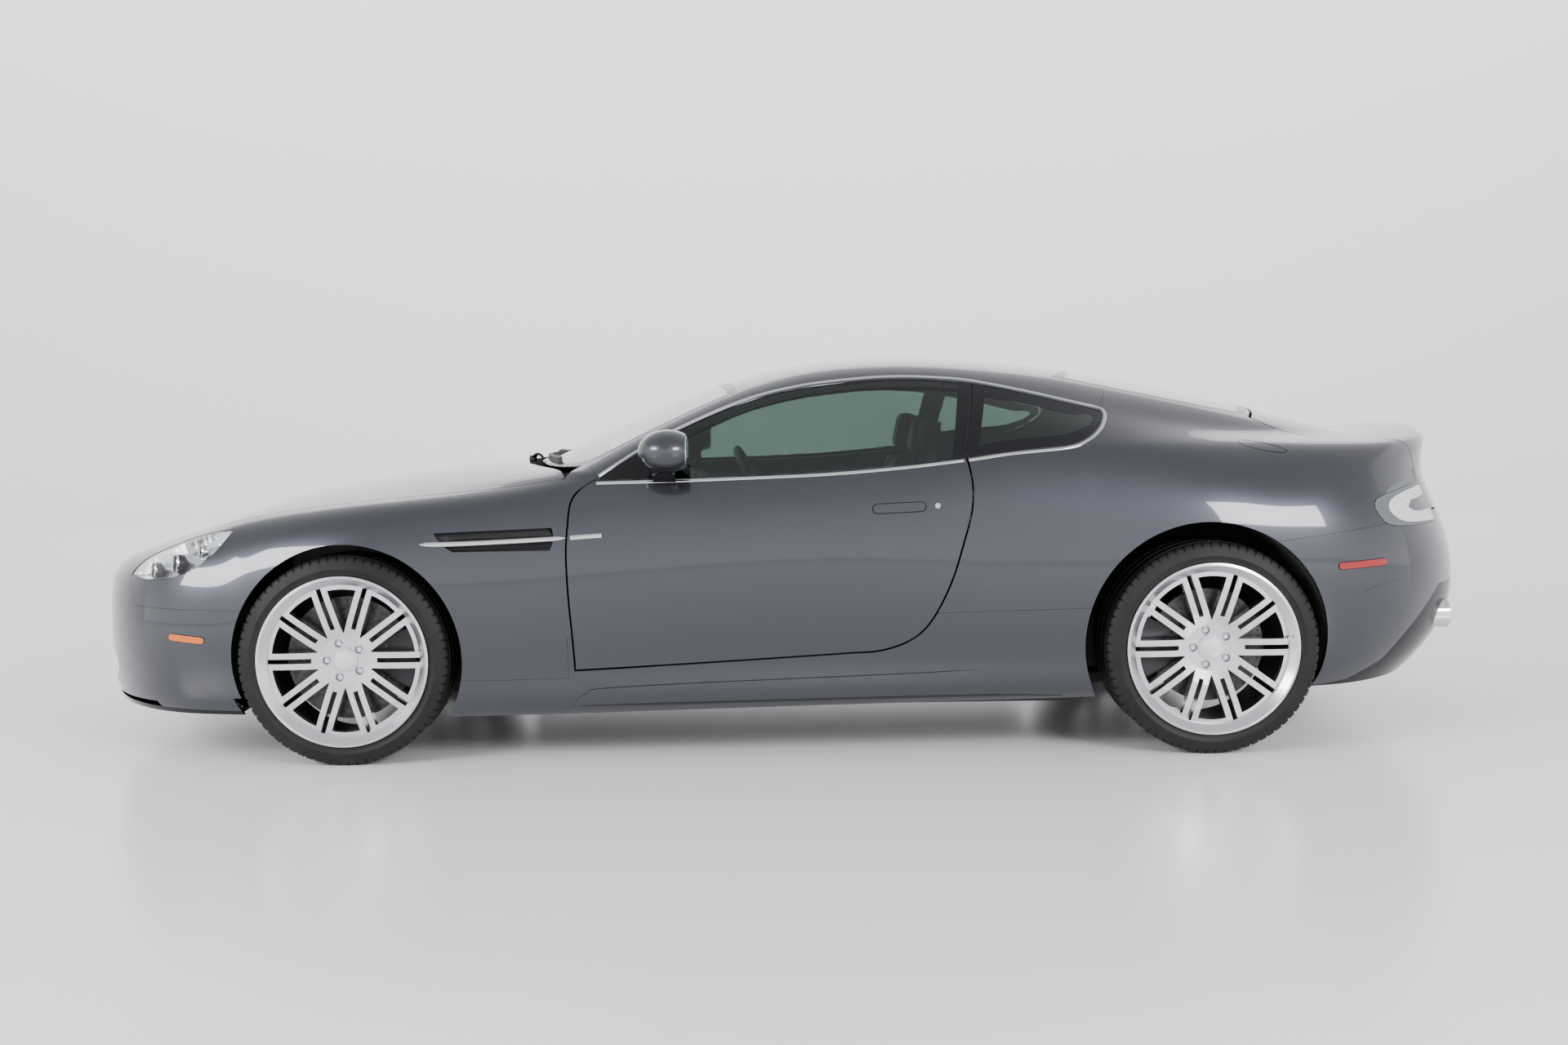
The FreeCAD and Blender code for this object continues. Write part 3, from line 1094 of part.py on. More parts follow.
pipe_radius = size("tailpipe_radius")
pipe_y = size("tailpipe_y")
pipe_z = size("tailpipe_z")
pipe_line = rod((2010, pipe_y, pipe_z), (2212, pipe_y, pipe_z), pipe_radius)
pipe_bore = rod((2040, pipe_y, pipe_z), (2250, pipe_y, pipe_z), pipe_radius - 4)
pipe_hole = rod((1980, pipe_y, pipe_z), (2400, pipe_y, pipe_z), pipe_radius + FIT)
diffuser_half = diffuser_half.cut(pipe_hole)
rear_bumper_half = rear_bumper_half.cut(pipe_hole)
plate_hole = rod((2250, size("plate_hole_spacing") / 2, size("plate_hole_z")),
                 (2400, size("plate_hole_spacing") / 2, size("plate_hole_z")), size("plate_hole_radius"))
rear_bumper_half = rear_bumper_half.cut(plate_hole)

blade_band = [
    [(-846, -40), (-800, 280), (-748, 480)],
    [(-748, 480), (-734, 476)],
    [(-734, 476), (-786, 278), (-832, -40)],
    [(-832, -40), (-846, -40)],
]
over_glass = half_body(-14).cut(half_body(size("glass_set_in") - FIT))
wiper = over_glass.common(prism(blade_band, "top", 880, 1300)).common(box(-1000, 0, 12, 600, 0, 1300))

# Joined halves

add_node("front_bumper", whole(solids_of(bumper_half)), "paint", "body")
add_node("front_splitter", whole(solids_of(splitter_half)), "black", "body")
add_node("grille", whole(grille_half), "satin", "body")
add_node("front_wings", pair(solids_of(wing_half)), "paint", "body")
add_node("windscreen_pillars", pair(solids_of(pillar_half)), "paint", "body")
add_node("roof", whole(solids_of(roof_half)), "paint", "body")
add_node("rear_quarters", pair(solids_of(quarter_half)), "paint", "body")
add_node("rear_bumper", whole(solids_of(rear_bumper_half)), "paint", "body")
add_node("rear_diffuser", whole(solids_of(diffuser_half)), "black", "body")
add_node("side_skirts", pair(solids_of(skirt_half)), "paint", "body")
add_node("floor", whole(floor_half), "underbody", "body")
add_node("bulkhead_front", whole(bulkhead_half), "underbody", "body")
add_node("boot_tub", whole(rear_structure_half), "underbody", "body")
add_node("wheel_liners", pair(liner_half), "liner", "body")
add_node("windscreen", whole(windscreen_half), "glass", "body")
add_node("rear_screen", whole(rear_screen_half), "glass", "body")
add_node("quarter_windows", pair(quarter_glass_half), "glass", "body")
add_node("headlamps", pair(headlamp_half), "lamp", "body")
add_node("tail_lamps", pair(tail_lamp_half), "lamp", "body")
add_node("wipers", pair(solids_of(wiper)), "rubber", "body")
add_node("tailpipes", pair(pipe_line.cut(pipe_bore)), "chrome", "body")
add_node("bonnet", whole(bonnet_half), "paint", "bonnet")
add_node("boot_lid", whole(boot_half), "paint", "boot_lid")
for side, sign in SIDES.items():
    body = "door_%s" % side
    add_node("door_panel_%s" % side, door_half if sign > 0 else mirrored(door_half), "paint", body)
    add_node("door_glass_%s" % side, door_glass_half if sign > 0 else mirrored(door_glass_half), "glass",
             body)
    add_node("mirror_%s" % side, mirror_half if sign > 0 else mirrored(mirror_half), "paint", body)

doc.recompute()

# Checks and files

for item in doc.Objects:
    if "Invalid" in item.State or "Error" in item.State:
        raise RuntimeError("bad state: " + item.Label)

os.makedirs("parts", exist_ok=True)
for label, item, slot, body in nodes:
    shape = item.Shape
    if shape.isNull() or not shape.isValid() or shape.Volume <= 0:
        raise RuntimeError("bad shape: " + label)
    for number, solid in enumerate(shape.Solids):
        if solid.Volume < 500:
            raise RuntimeError("sliver in " + label)
    shape.exportStep(os.path.join("parts", label + ".step"))
    print("%-22s %-14s %2d solids %9.3f litres" % (label, body, len(shape.Solids), shape.Volume / 1e6))
print(len(nodes), "pieces")
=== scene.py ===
# %% [markdown]
# # A two-door coupe, from plain solids to a finished car
# The solids of the car come from a CAD program: panels cut from one smooth skin, wheels, floor, cabin. This
# lesson dresses them. Each step says what the piece is on the real car, how it could be made in Blender, and
# why one way was picked. Everything is in metres: X runs to the tail, Y to the right-hand side, Z up, and the
# road is at zero.

# %% Load the fixed frame
import math
import bmesh
import bpy
import numpy as np
from mathutils import Matrix, Vector
from mathutils.bvhtree import BVHTree
from mathutils.kdtree import KDTree


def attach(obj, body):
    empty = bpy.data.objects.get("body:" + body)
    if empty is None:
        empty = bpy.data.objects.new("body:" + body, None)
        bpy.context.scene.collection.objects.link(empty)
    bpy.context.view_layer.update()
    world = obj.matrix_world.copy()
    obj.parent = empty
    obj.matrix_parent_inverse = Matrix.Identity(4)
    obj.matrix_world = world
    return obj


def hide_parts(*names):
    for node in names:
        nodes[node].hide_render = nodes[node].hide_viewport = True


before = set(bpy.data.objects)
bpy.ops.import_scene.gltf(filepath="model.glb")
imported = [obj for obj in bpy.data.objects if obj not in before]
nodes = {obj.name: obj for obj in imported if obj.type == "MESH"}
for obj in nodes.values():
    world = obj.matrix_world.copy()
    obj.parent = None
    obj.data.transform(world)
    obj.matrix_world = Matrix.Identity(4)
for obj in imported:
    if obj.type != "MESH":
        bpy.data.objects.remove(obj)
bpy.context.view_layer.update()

# %% [markdown]
# ## Finishes
# A finish is a small tree of shader nodes. The Principled shader carries the main numbers (colour, metal,
# gloss), and noise read from the piece's own coordinates adds what a real surface has: flakes in the paint,
# grain in the leather, brushed marks on metal. A picture could be wrapped round each piece instead, but it
# would need unwrapping and would blur close by, so every pattern here is worked out from position.


# %% Helpers for finishes
def finish(name, color, metallic=0.0, rough=0.5, **sockets):
    """A Principled material; further sockets by name, with _ for a space."""
    made = bpy.data.materials.new(name)
    made.use_nodes = True
    shader = made.node_tree.nodes["Principled BSDF"]
    shader.inputs["Base Color"].default_value = (*color, 1)
    shader.inputs["Metallic"].default_value = metallic
    shader.inputs["Roughness"].default_value = rough
    for key, value in sockets.items():
        socket = shader.inputs[key.replace("_", " ")]
        socket.default_value = (*value, 1) if isinstance(value, tuple) else value
    made.diffuse_color = (*color, 1)
    return made


def place_node(made, kind, **values):
    node = made.node_tree.nodes.new(kind)
    for key, value in values.items():
        if hasattr(node, key):
            setattr(node, key, value)
        else:
            node.inputs[key.replace("_", " ")].default_value = value
    return node


def pattern(made, kind="ShaderNodeTexNoise", stretch=(1, 1, 1), **values):
    """A texture read from the object's own coordinates; stretch squeezes it along an axis."""
    where = place_node(made, "ShaderNodeTexCoord")
    turn = place_node(made, "ShaderNodeMapping")
    turn.inputs["Scale"].default_value = stretch
    texture = place_node(made, kind, **values)
    made.node_tree.links.new(where.outputs["Object"], turn.inputs["Vector"])
    made.node_tree.links.new(turn.outputs["Vector"], texture.inputs["Vector"])
    return texture


def relief(made, texture, output, distance, strength):
    """Let a texture push the surface in and out."""
    bump = place_node(made, "ShaderNodeBump", Strength=strength, Distance=distance)
    made.node_tree.links.new(texture.outputs[output], bump.inputs["Height"])
    shader = made.node_tree.nodes["Principled BSDF"]
    made.node_tree.links.new(bump.outputs["Normal"], shader.inputs["Normal"])


def tint(made, texture, output, low, high, socket="Base Color", start=0.3, end=0.7):
    """Let a texture run a colour, or a number, between two values."""
    ramp = place_node(made, "ShaderNodeMapRange")
    ramp.inputs["From Min"].default_value = start
    ramp.inputs["From Max"].default_value = end
    made.node_tree.links.new(texture.outputs[output], ramp.inputs["Value"])
    shader = made.node_tree.nodes["Principled BSDF"]
    if not isinstance(low, tuple):
        ramp.inputs["To Min"].default_value = low
        ramp.inputs["To Max"].default_value = high
        made.node_tree.links.new(ramp.outputs["Result"], shader.inputs[socket])
        return
    mix = place_node(made, "ShaderNodeMix", data_type="RGBA")
    mix.inputs[6].default_value = (*low, 1)
    mix.inputs[7].default_value = (*high, 1)
    made.node_tree.links.new(ramp.outputs["Result"], mix.inputs[0])
    made.node_tree.links.new(mix.outputs[2], shader.inputs[socket])


# %% [markdown]
# The paint is a grey metallic with a little violet in it, under a clear coat. Real flakes are a tenth of a
# millimetre, far too fine for mesh, so a cell pattern varies the brightness from flake to flake, and the
# clear coat above stays perfectly smooth. That is what makes the highlights soft and the reflections sharp at
# the same time.

# %% Paint
paint = finish("grey_metallic_paint", (0.058, 0.059, 0.075), 0.9, 0.36, Coat_Weight=1.0, Coat_Roughness=0.05,
               Coat_IOR=1.5)
flakes = pattern(paint, "ShaderNodeTexVoronoi", Scale=900.0)
tint(paint, flakes, "Distance", (0.032, 0.033, 0.043), (0.052, 0.053, 0.068), start=0.0, end=0.9)
lacquer = pattern(paint, Scale=6.0, Detail=2.0)
tint(paint, lacquer, "Fac", 0.33, 0.39, "Roughness")

# %% Metals
satin = finish("satin_bright_trim", (0.62, 0.62, 0.63), 1.0, 0.2)
relief(satin, pattern(satin, stretch=(1, 60, 60), Scale=30.0, Detail=4.0), "Fac", 0.00005, 0.3)
chrome = finish("polished_steel", (0.72, 0.72, 0.73), 1.0, 0.08)
tint(chrome, pattern(chrome, Scale=25.0), "Fac", 0.05, 0.14, "Roughness")
alloy = finish("silver_wheel_lacquer", (0.60, 0.605, 0.62), 1.0, 0.24, Coat_Weight=0.6, Coat_Roughness=0.06)
tint(alloy, pattern(alloy, "ShaderNodeTexVoronoi", Scale=1500.0), "Distance", (0.57, 0.575, 0.59),
     (0.70, 0.705, 0.72), start=0.0, end=0.9)
iron = finish("machined_iron", (0.06, 0.06, 0.062), 1.0, 0.42)
iron_dust = pattern(iron, Scale=60.0, Detail=6.0)
tint(iron, iron_dust, "Fac", (0.045, 0.045, 0.048), (0.09, 0.088, 0.086))
cast = finish("cast_alloy", (0.2, 0.2, 0.205), 0.8, 0.55)
relief(cast, pattern(cast, Scale=350.0, Detail=3.0), "Fac", 0.0006, 0.5)
dark_metal = finish("black_coated_metal", (0.018, 0.018, 0.02), 0.3, 0.42)
relief(dark_metal, pattern(dark_metal, Scale=220.0, Detail=3.0), "Fac", 0.0004, 0.4)

# %% Plastics, rubber and cloth
gloss_black = finish("gloss_black", (0.006, 0.006, 0.007), 0.0, 0.12, Specular_IOR_Level=0.22)
tint(gloss_black, pattern(gloss_black, Scale=14.0), "Fac", 0.09, 0.17, "Roughness")
grained_black = finish("grained_black_plastic", (0.022, 0.022, 0.023), 0.0, 0.55)
relief(grained_black, pattern(grained_black, "ShaderNodeTexVoronoi", Scale=700.0), "Distance", 0.0003, 0.6)
tyre_rubber = finish("tyre_rubber", (0.009, 0.009, 0.0095), 0.0, 0.55, Specular_IOR_Level=0.25)
tint(tyre_rubber, pattern(tyre_rubber, Scale=9.0, Detail=5.0), "Fac", (0.006, 0.006, 0.0065),
     (0.013, 0.0128, 0.0125))
relief(tyre_rubber, pattern(tyre_rubber, Scale=500.0, Detail=2.0), "Fac", 0.0003, 0.4)
seal_rubber = finish("seal_rubber", (0.012, 0.012, 0.012), 0.0, 0.6)
relief(seal_rubber, pattern(seal_rubber, Scale=300.0), "Fac", 0.0002, 0.4)
leather = finish("black_leather", (0.02, 0.02, 0.022), 0.0, 0.42, Specular_IOR_Level=0.4)
relief(leather, pattern(leather, "ShaderNodeTexVoronoi", Scale=420.0), "Distance", 0.0005, 0.5)
tint(leather, pattern(leather, Scale=7.0, Detail=3.0), "Fac", (0.014, 0.014, 0.016), (0.03, 0.029, 0.031))
headlining = finish("headlining_cloth", (0.05, 0.05, 0.053), 0.0, 0.9, Sheen_Weight=0.3)
relief(headlining, pattern(headlining, Scale=900.0, Detail=2.0), "Fac", 0.0004, 0.6)
carpet = finish("carpet", (0.02, 0.02, 0.022), 0.0, 0.95, Sheen_Weight=0.4)
relief(carpet, pattern(carpet, Scale=700.0, Detail=6.0), "Fac", 0.002, 0.8)
underseal = finish("underseal", (0.025, 0.025, 0.026), 0.0, 0.8)
relief(underseal, pattern(underseal, Scale=130.0, Detail=6.0), "Fac", 0.0015, 0.6)
liner_felt = finish("wheel_arch_felt", (0.02, 0.02, 0.021), 0.0, 0.92)
relief(liner_felt, pattern(liner_felt, Scale=500.0, Detail=5.0), "Fac", 0.0012, 0.7)

# %% Glass and lenses
side_glass = finish("dark_side_glass", (0.25, 0.33, 0.30), 0.0, 0.0, Transmission_Weight=1.0, IOR=1.45)
tint(side_glass, pattern(side_glass, Scale=2.0), "Fac", (0.24, 0.32, 0.29), (0.26, 0.34, 0.31))
screen_glass = finish("green_screen_glass", (0.80, 0.88, 0.86), 0.0, 0.0, Transmission_Weight=1.0, IOR=1.45)
tint(screen_glass, pattern(screen_glass, Scale=2.0), "Fac", (0.78, 0.87, 0.84), (0.82, 0.89, 0.87))
lens = finish("clear_lens", (0.97, 0.98, 0.98), 0.0, 0.0, Transmission_Weight=1.0, IOR=1.3)
tint(lens, pattern(lens, Scale=3.0), "Fac", (0.96, 0.97, 0.98), (0.98, 0.98, 0.97))
frost = finish("frosted_light_guide", (0.86, 0.87, 0.88), 0.0, 0.25, Transmission_Weight=0.35, IOR=1.4)
relief(frost, pattern(frost, "ShaderNodeTexWave", Scale=60.0), "Fac", 0.0006, 0.5)
red_lens = finish("red_lens", (0.3, 0.006, 0.006), 0.0, 0.14, Coat_Weight=0.3)
relief(red_lens, pattern(red_lens, "ShaderNodeTexWave", Scale=90.0), "Fac", 0.0005, 0.5)
amber_lens = finish("amber_lens", (0.62, 0.13, 0.006), 0.0, 0.14, Coat_Weight=0.3)
relief(amber_lens, pattern(amber_lens, "ShaderNodeTexWave", Scale=90.0), "Fac", 0.0005, 0.5)
silvered = finish("silvered_reflector", (0.74, 0.75, 0.77), 0.8, 0.24)
relief(silvered, pattern(silvered, Scale=40.0), "Fac", 0.0006, 0.3)
grey_bezel = finish("grey_bezel", (0.13, 0.135, 0.145), 0.3, 0.35)
relief(grey_bezel, pattern(grey_bezel, Scale=400.0), "Fac", 0.0002, 0.4)
print("finishes:", len(bpy.data.materials))

# %% [markdown]
# ## The shape of the skin
# Car paint shows everything. The solids arrive as flat triangles, and a mirror-like coat would show each one,
# so the script needs to know the true curved surface. Subdividing would not help, because it smooths towards
# the triangles. Instead the same net of feature lines that shaped the body is written down again (the
# drawing's millimetres), the spline surface over it is worked out at any point, and its exact direction is
# given to every corner of the painted faces.

# %% Feature lines of the body
# where each side line meets the middle of the nose and of the tail: (x, height)
NOSE = [(-2335, 165), (-2352, 195), (-2358, 270), (-2360, 350), (-2360, 430), (-2359, 500), (-2357, 555),
        (-2348, 597)]
TAIL = [(2190, 205), (2262, 270), (2335, 360), (2363, 455), (2361, 560), (2326, 700), (2232, 862), (2288, 974)]
# where each side line begins to turn round the corner
NOSE_CORNER = [-1760, -1755, -1750, -1750, -1750, -1750, -1760, -1780]
TAIL_CORNER = [1600, 1580, 1560, 1540, 1540, 1540, 1540, 1560]
CORNER_POWER = 2.15
CORNER_MARGIN = 30

# side lines between the corners: (x, half width, height)
SIDE = [
    # bottom edge
    [(-1760, 820, 158), (-1388, 850, 150), (-1010, 868, 150), (0, 870, 166), (960, 872, 182), (1352, 860, 190),
     (1600, 845, 198)],
    # skirt outer edge
    [(-1755, 850, 190), (-1388, 880, 185), (-1010, 905, 182), (0, 912, 204), (960, 920, 218), (1352, 907, 226),
     (1580, 890, 240)],
    # skirt crease
    [(-1750, 868, 270), (-1388, 903, 275), (-1010, 904, 270), (0, 893, 280), (960, 913, 296), (1352, 936, 318),
     (1560, 915, 330)],
    # lower door
    [(-1750, 880, 360), (-1388, 925, 385), (-1010, 920, 380), (0, 915, 395), (960, 938, 410), (1352, 955, 430),
     (1540, 935, 440)],
    # widest line
    [(-1750, 882, 455), (-1388, 938, 530), (-1010, 926, 530), (0, 928, 550), (960, 945, 560), (1352, 960, 570),
     (1540, 945, 560)],
    # upper side
    [(-1750, 870, 560), (-1388, 934, 670), (-1010, 920, 680), (0, 928, 700), (600, 932, 715), (960, 940, 735),
     (1352, 955, 745), (1540, 940, 730)],
    # shoulder
    [(-1760, 835, 665), (-1580, 870, 730), (-1388, 893, 768), (-1010, 890, 795), (-590, 896, 815), (0, 903, 830),
     (600, 905, 855), (960, 905, 872), (1352, 905, 880), (1540, 885, 860)],
    # wing crest and belt
    [(-1780, 765, 745), (-1580, 800, 790), (-1388, 815, 818), (-1010, 825, 845), (-700, 848, 872),
     (-590, 862, 884), (0, 867, 898), (586, 868, 936), (960, 860, 962), (1200, 838, 968),
     (1352, 815, 968), (1560, 780, 964)],
]

# top lines: (x, set-back of the line, half width, height)
TOP = [
    # foot of the side glass, edge of the bonnet
    [(-2348, 0.7, 0, 600), (-2250, 0, 400, 630), (-1980, 0, 610, 705), (-1780, 0, 690, 768), (-1580, 0, 715, 806),
     (-1388, 0, 725, 827), (-1010, 0, 750, 858), (-700, 0, 820, 888), (-590, 0, 848, 898), (0, 0, 850, 908),
     (586, 0, 850, 948), (908, 0, 838, 984), (1080, 0, 800, 1000), (1352, 0, 738, 990), (1560, 0, 700, 982),
     (1900, 0, 600, 976), (2040, 0, 500, 978), (2150, 0, 390, 990), (2240, 0, 240, 990),
     (2288, -0.7, 0, 976)],
    # middle of the side glass
    [(-2348, 1.4, 0, 601), (-2250, 0, 330, 634), (-1980, 0, 500, 716), (-1780, 0, 570, 780), (-1580, 0, 595, 820),
     (-1388, 0, 615, 842), (-1010, 0, 680, 876), (-700, -10, 790, 901), (-590, -15, 838, 908), (-444, 0, 830, 934),
     (-323, 0, 808, 970), (-116, 0, 780, 1020), (70, 0, 762, 1044), (386, 0, 755, 1065), (644, 0, 755, 1070),
     (813, 0, 752, 1066), (1008, 0, 735, 1050), (1200, 0, 690, 1030), (1400, 0, 650, 1005), (1560, 0, 620, 993),
     (1900, 0, 530, 982), (2040, 0, 440, 984), (2150, 0, 340, 1002), (2240, 0, 210, 1002),
     (2288, -1.4, 0, 978)],
    # top of the side glass, outer edge of the windscreen pillar
    [(-2348, 2.1, 0, 602), (-2250, 0, 250, 638), (-1980, 0, 390, 724), (-1780, 0, 450, 789), (-1580, 0, 475, 830),
     (-1388, 0, 500, 855), (-1010, 0, 600, 889), (-700, -30, 740, 911), (-590, -35, 820, 917), (-444, 0, 806, 980),
     (-323, 0, 765, 1045), (-116, 0, 695, 1128), (70, 0, 655, 1170), (256, 0, 638, 1190), (386, 0, 633, 1194),
     (644, 0, 636, 1174), (813, 0, 642, 1140), (1008, 0, 648, 1094), (1200, 0, 615, 1062), (1400, 0, 575, 1030),
     (1560, 0, 545, 1010), (1900, 0, 450, 988), (2040, 0, 370, 987), (2150, 0, 280, 1010),
     (2240, 0, 170, 1010), (2288, -2.1, 0, 980)],
    # edge of the windscreen, inner edge of the roof rail
    [(-2348, 2.8, 0, 603), (-2250, 0, 170, 641), (-1980, 0, 270, 730), (-1780, 0, 320, 797), (-1580, 0, 350, 840),
     (-1388, 0, 375, 866), (-1010, -30, 480, 902), (-700, -75, 660, 917), (-590, -90, 765, 922),
     (-444, -60, 748, 1003), (-323, -42, 705, 1068), (-116, -14, 612, 1172), (70, 0, 562, 1226),
     (256, 0, 545, 1246), (386, 0, 540, 1248), (644, 0, 538, 1232), (880, 12, 528, 1200), (1100, 20, 508, 1155),
     (1352, 25, 480, 1100), (1560, 25, 455, 1055), (1760, 22, 425, 1013), (1900, 15, 370, 990),
     (2040, 0, 300, 988), (2150, 0, 225, 1014), (2240, 0, 130, 1015), (2288, -2.8, 0, 982)],
    # half way to the middle
    [(-2348, 3.5, 0, 604), (-2250, 0, 85, 643), (-1980, 0, 140, 735), (-1780, 0, 170, 803), (-1580, 0, 185, 847),
     (-1388, -10, 200, 874), (-1010, -70, 255, 914), (-700, -175, 370, 927), (-590, -200, 430, 933),
     (-444, -160, 415, 1017), (-323, -125, 385, 1085), (-116, -50, 320, 1200), (70, -12, 290, 1252),
     (256, 0, 280, 1270), (386, 0, 277, 1273), (644, 10, 276, 1260), (880, 40, 272, 1230), (1100, 65, 262, 1183),
     (1352, 85, 250, 1124), (1560, 90, 238, 1075), (1760, 75, 225, 1030), (1900, 50, 200, 998),
     (2040, 0, 160, 990), (2150, 0, 120, 1016), (2240, 0, 68, 1018), (2288, -3.5, 0, 984)],
    # middle
    [(-2348, 4.2, 0, 605), (-2250, 0, 0, 644), (-1980, 0, 0, 737), (-1780, 0, 0, 806), (-1580, 0, 0, 850),
     (-1388, -12, 0, 877), (-1010, -90, 0, 918), (-700, -225, 0, 931), (-590, -262, 0, 937), (-444, -215, 0, 1022),
     (-323, -170, 0, 1090), (-116, -70, 0, 1207), (70, -18, 0, 1260), (256, 0, 0, 1279), (386, 0, 0, 1282),
     (644, 15, 0, 1268), (880, 55, 0, 1239), (1100, 90, 0, 1192), (1352, 115, 0, 1131), (1560, 120, 0, 1082),
     (1760, 100, 0, 1034), (1900, 65, 0, 1000), (2040, 0, 0, 990), (2150, 0, 0, 1017),
     (2240, 0, 0, 1019), (2288, -4.2, 0, 986)],
]

# places of the rows: angles round the nose, x between the corners, angles round the tail
ROWS = [-1700, -1600, -1490, -1388, -1280, -1160, -1030, -900, -780, -690, -640, -600, -560, -500, -420, -330,
        -220, -110, 20, 160, 320, 480, 640, 800, 940, 1070, 1200, 1352, 1470]
NOSE_ANGLES = [0, 9, 19, 30, 42, 54, 66, 78, 90]
TAIL_ANGLES = [90, 78, 66, 54, 42, 30, 19, 9, 0]


def smooth(xs, ys, x):
    """Monotone cubic through the knots, so that a line never overshoots its stations."""
    if x <= xs[0]:
        return ys[0]
    if x >= xs[-1]:
        return ys[-1]
    count = len(xs)
    steps = [xs[i + 1] - xs[i] for i in range(count - 1)]
    slopes = [(ys[i + 1] - ys[i]) / steps[i] for i in range(count - 1)]
    tangents = [slopes[0]] + [0.0] * (count - 2) + [slopes[-1]]
    for i in range(1, count - 1):
        if slopes[i - 1] * slopes[i] > 0:
            before = 2 * steps[i] + steps[i - 1]
            after = steps[i] + 2 * steps[i - 1]
            tangents[i] = (before + after) / (before / slopes[i - 1] + after / slopes[i])
    i = max(k for k in range(count - 1) if xs[k] <= x)
    t = (x - xs[i]) / steps[i]
    return (ys[i] * (1 + 2 * t) * (1 - t) ** 2 + tangents[i] * steps[i] * t * (1 - t) ** 2
            + ys[i + 1] * t * t * (3 - 2 * t) + tangents[i + 1] * steps[i] * t * t * (t - 1))


def side_point(number, kind, station):
    """A point of a side line, at an x between the corners or at an angle round the nose or the tail."""
    line = SIDE[number]
    if kind == "body":
        xs, widths, heights = zip(*line)
        x = max(NOSE_CORNER[number] + CORNER_MARGIN, min(TAIL_CORNER[number] - CORNER_MARGIN, station))
        return (x, smooth(xs, widths, x), smooth(xs, heights, x))
    at_nose = kind == "nose"
    end_x, end_z = NOSE[number] if at_nose else TAIL[number]
    corner_x = NOSE_CORNER[number] if at_nose else TAIL_CORNER[number]
    last = line[0] if at_nose else line[-1]
    turn = math.radians(station)
    x = corner_x + (end_x - corner_x) * math.cos(turn) ** (2 / CORNER_POWER)
    y = last[1] * math.sin(turn) ** (2 / CORNER_POWER)
    t = (x - corner_x) / (end_x - corner_x)
    z = last[2] + (end_z - last[2]) * t * t * (3 - 2 * t)
    if number == len(SIDE) - 1:
        # the belt leaves its last station with the slope that it had there
        other = line[1] if at_nose else line[-2]
        slope = (last[2] - other[2]) / (last[0] - other[0])
        z += slope * (end_x - corner_x) * t * (1 - t) ** 2
    return (x, max(y, 0.0), z)


def skin_net():
    """Rows from nose to tail, each from the bottom edge of the right side up to the middle line."""
    rows = []
    for kind, stations in (("nose", NOSE_ANGLES), ("body", ROWS), ("tail", TAIL_ANGLES)):
        for station in stations:
            row = [side_point(number, kind, station) for number in range(len(SIDE))]
            at = row[-1][0]
            for line in TOP:
                xs, backs, widths, heights = zip(*line)
                row.append((at + smooth(xs, backs, at), max(0.0, smooth(xs, widths, at)), smooth(xs, heights, at)))
            rows.append(row)
    return rows


print("feature lines:", len(SIDE) + len(TOP), "rows:", len(ROWS) + len(NOSE_ANGLES) + len(TAIL_ANGLES))


# %% A cubic spline surface over the net
def spline_weights(count, t):
    """First control point and its four weights at each place t of a clamped uniform cubic spline."""
    spans = count - 3
    first = np.clip(t.astype(int), 0, spans - 1)
    knots = np.concatenate([[0.0] * 3, np.arange(spans + 1), [spans] * 3])
    weights = [np.ones_like(t)]
    for degree in (1, 2, 3):
        raised = [np.zeros_like(t) for _ in range(degree + 1)]
        for r in range(degree):
            left = knots[first + 4 + r - degree]
            right = knots[first + 4 + r]
            share = (right - t) / (right - left)
            raised[r] += weights[r] * share
            raised[r + 1] += weights[r] * (1 - share)
        weights = raised
    return first, np.stack(weights, -1)


def quads(rows, count, closed=True):
    """Faces between rows of points; closed where the last point of a row meets its first."""
    return [(i * count + k, i * count + (k + 1) % count, (i + 1) * count + (k + 1) % count, (i + 1) * count + k)
            for i in range(rows - 1) for k in range(count if closed else count - 1)]


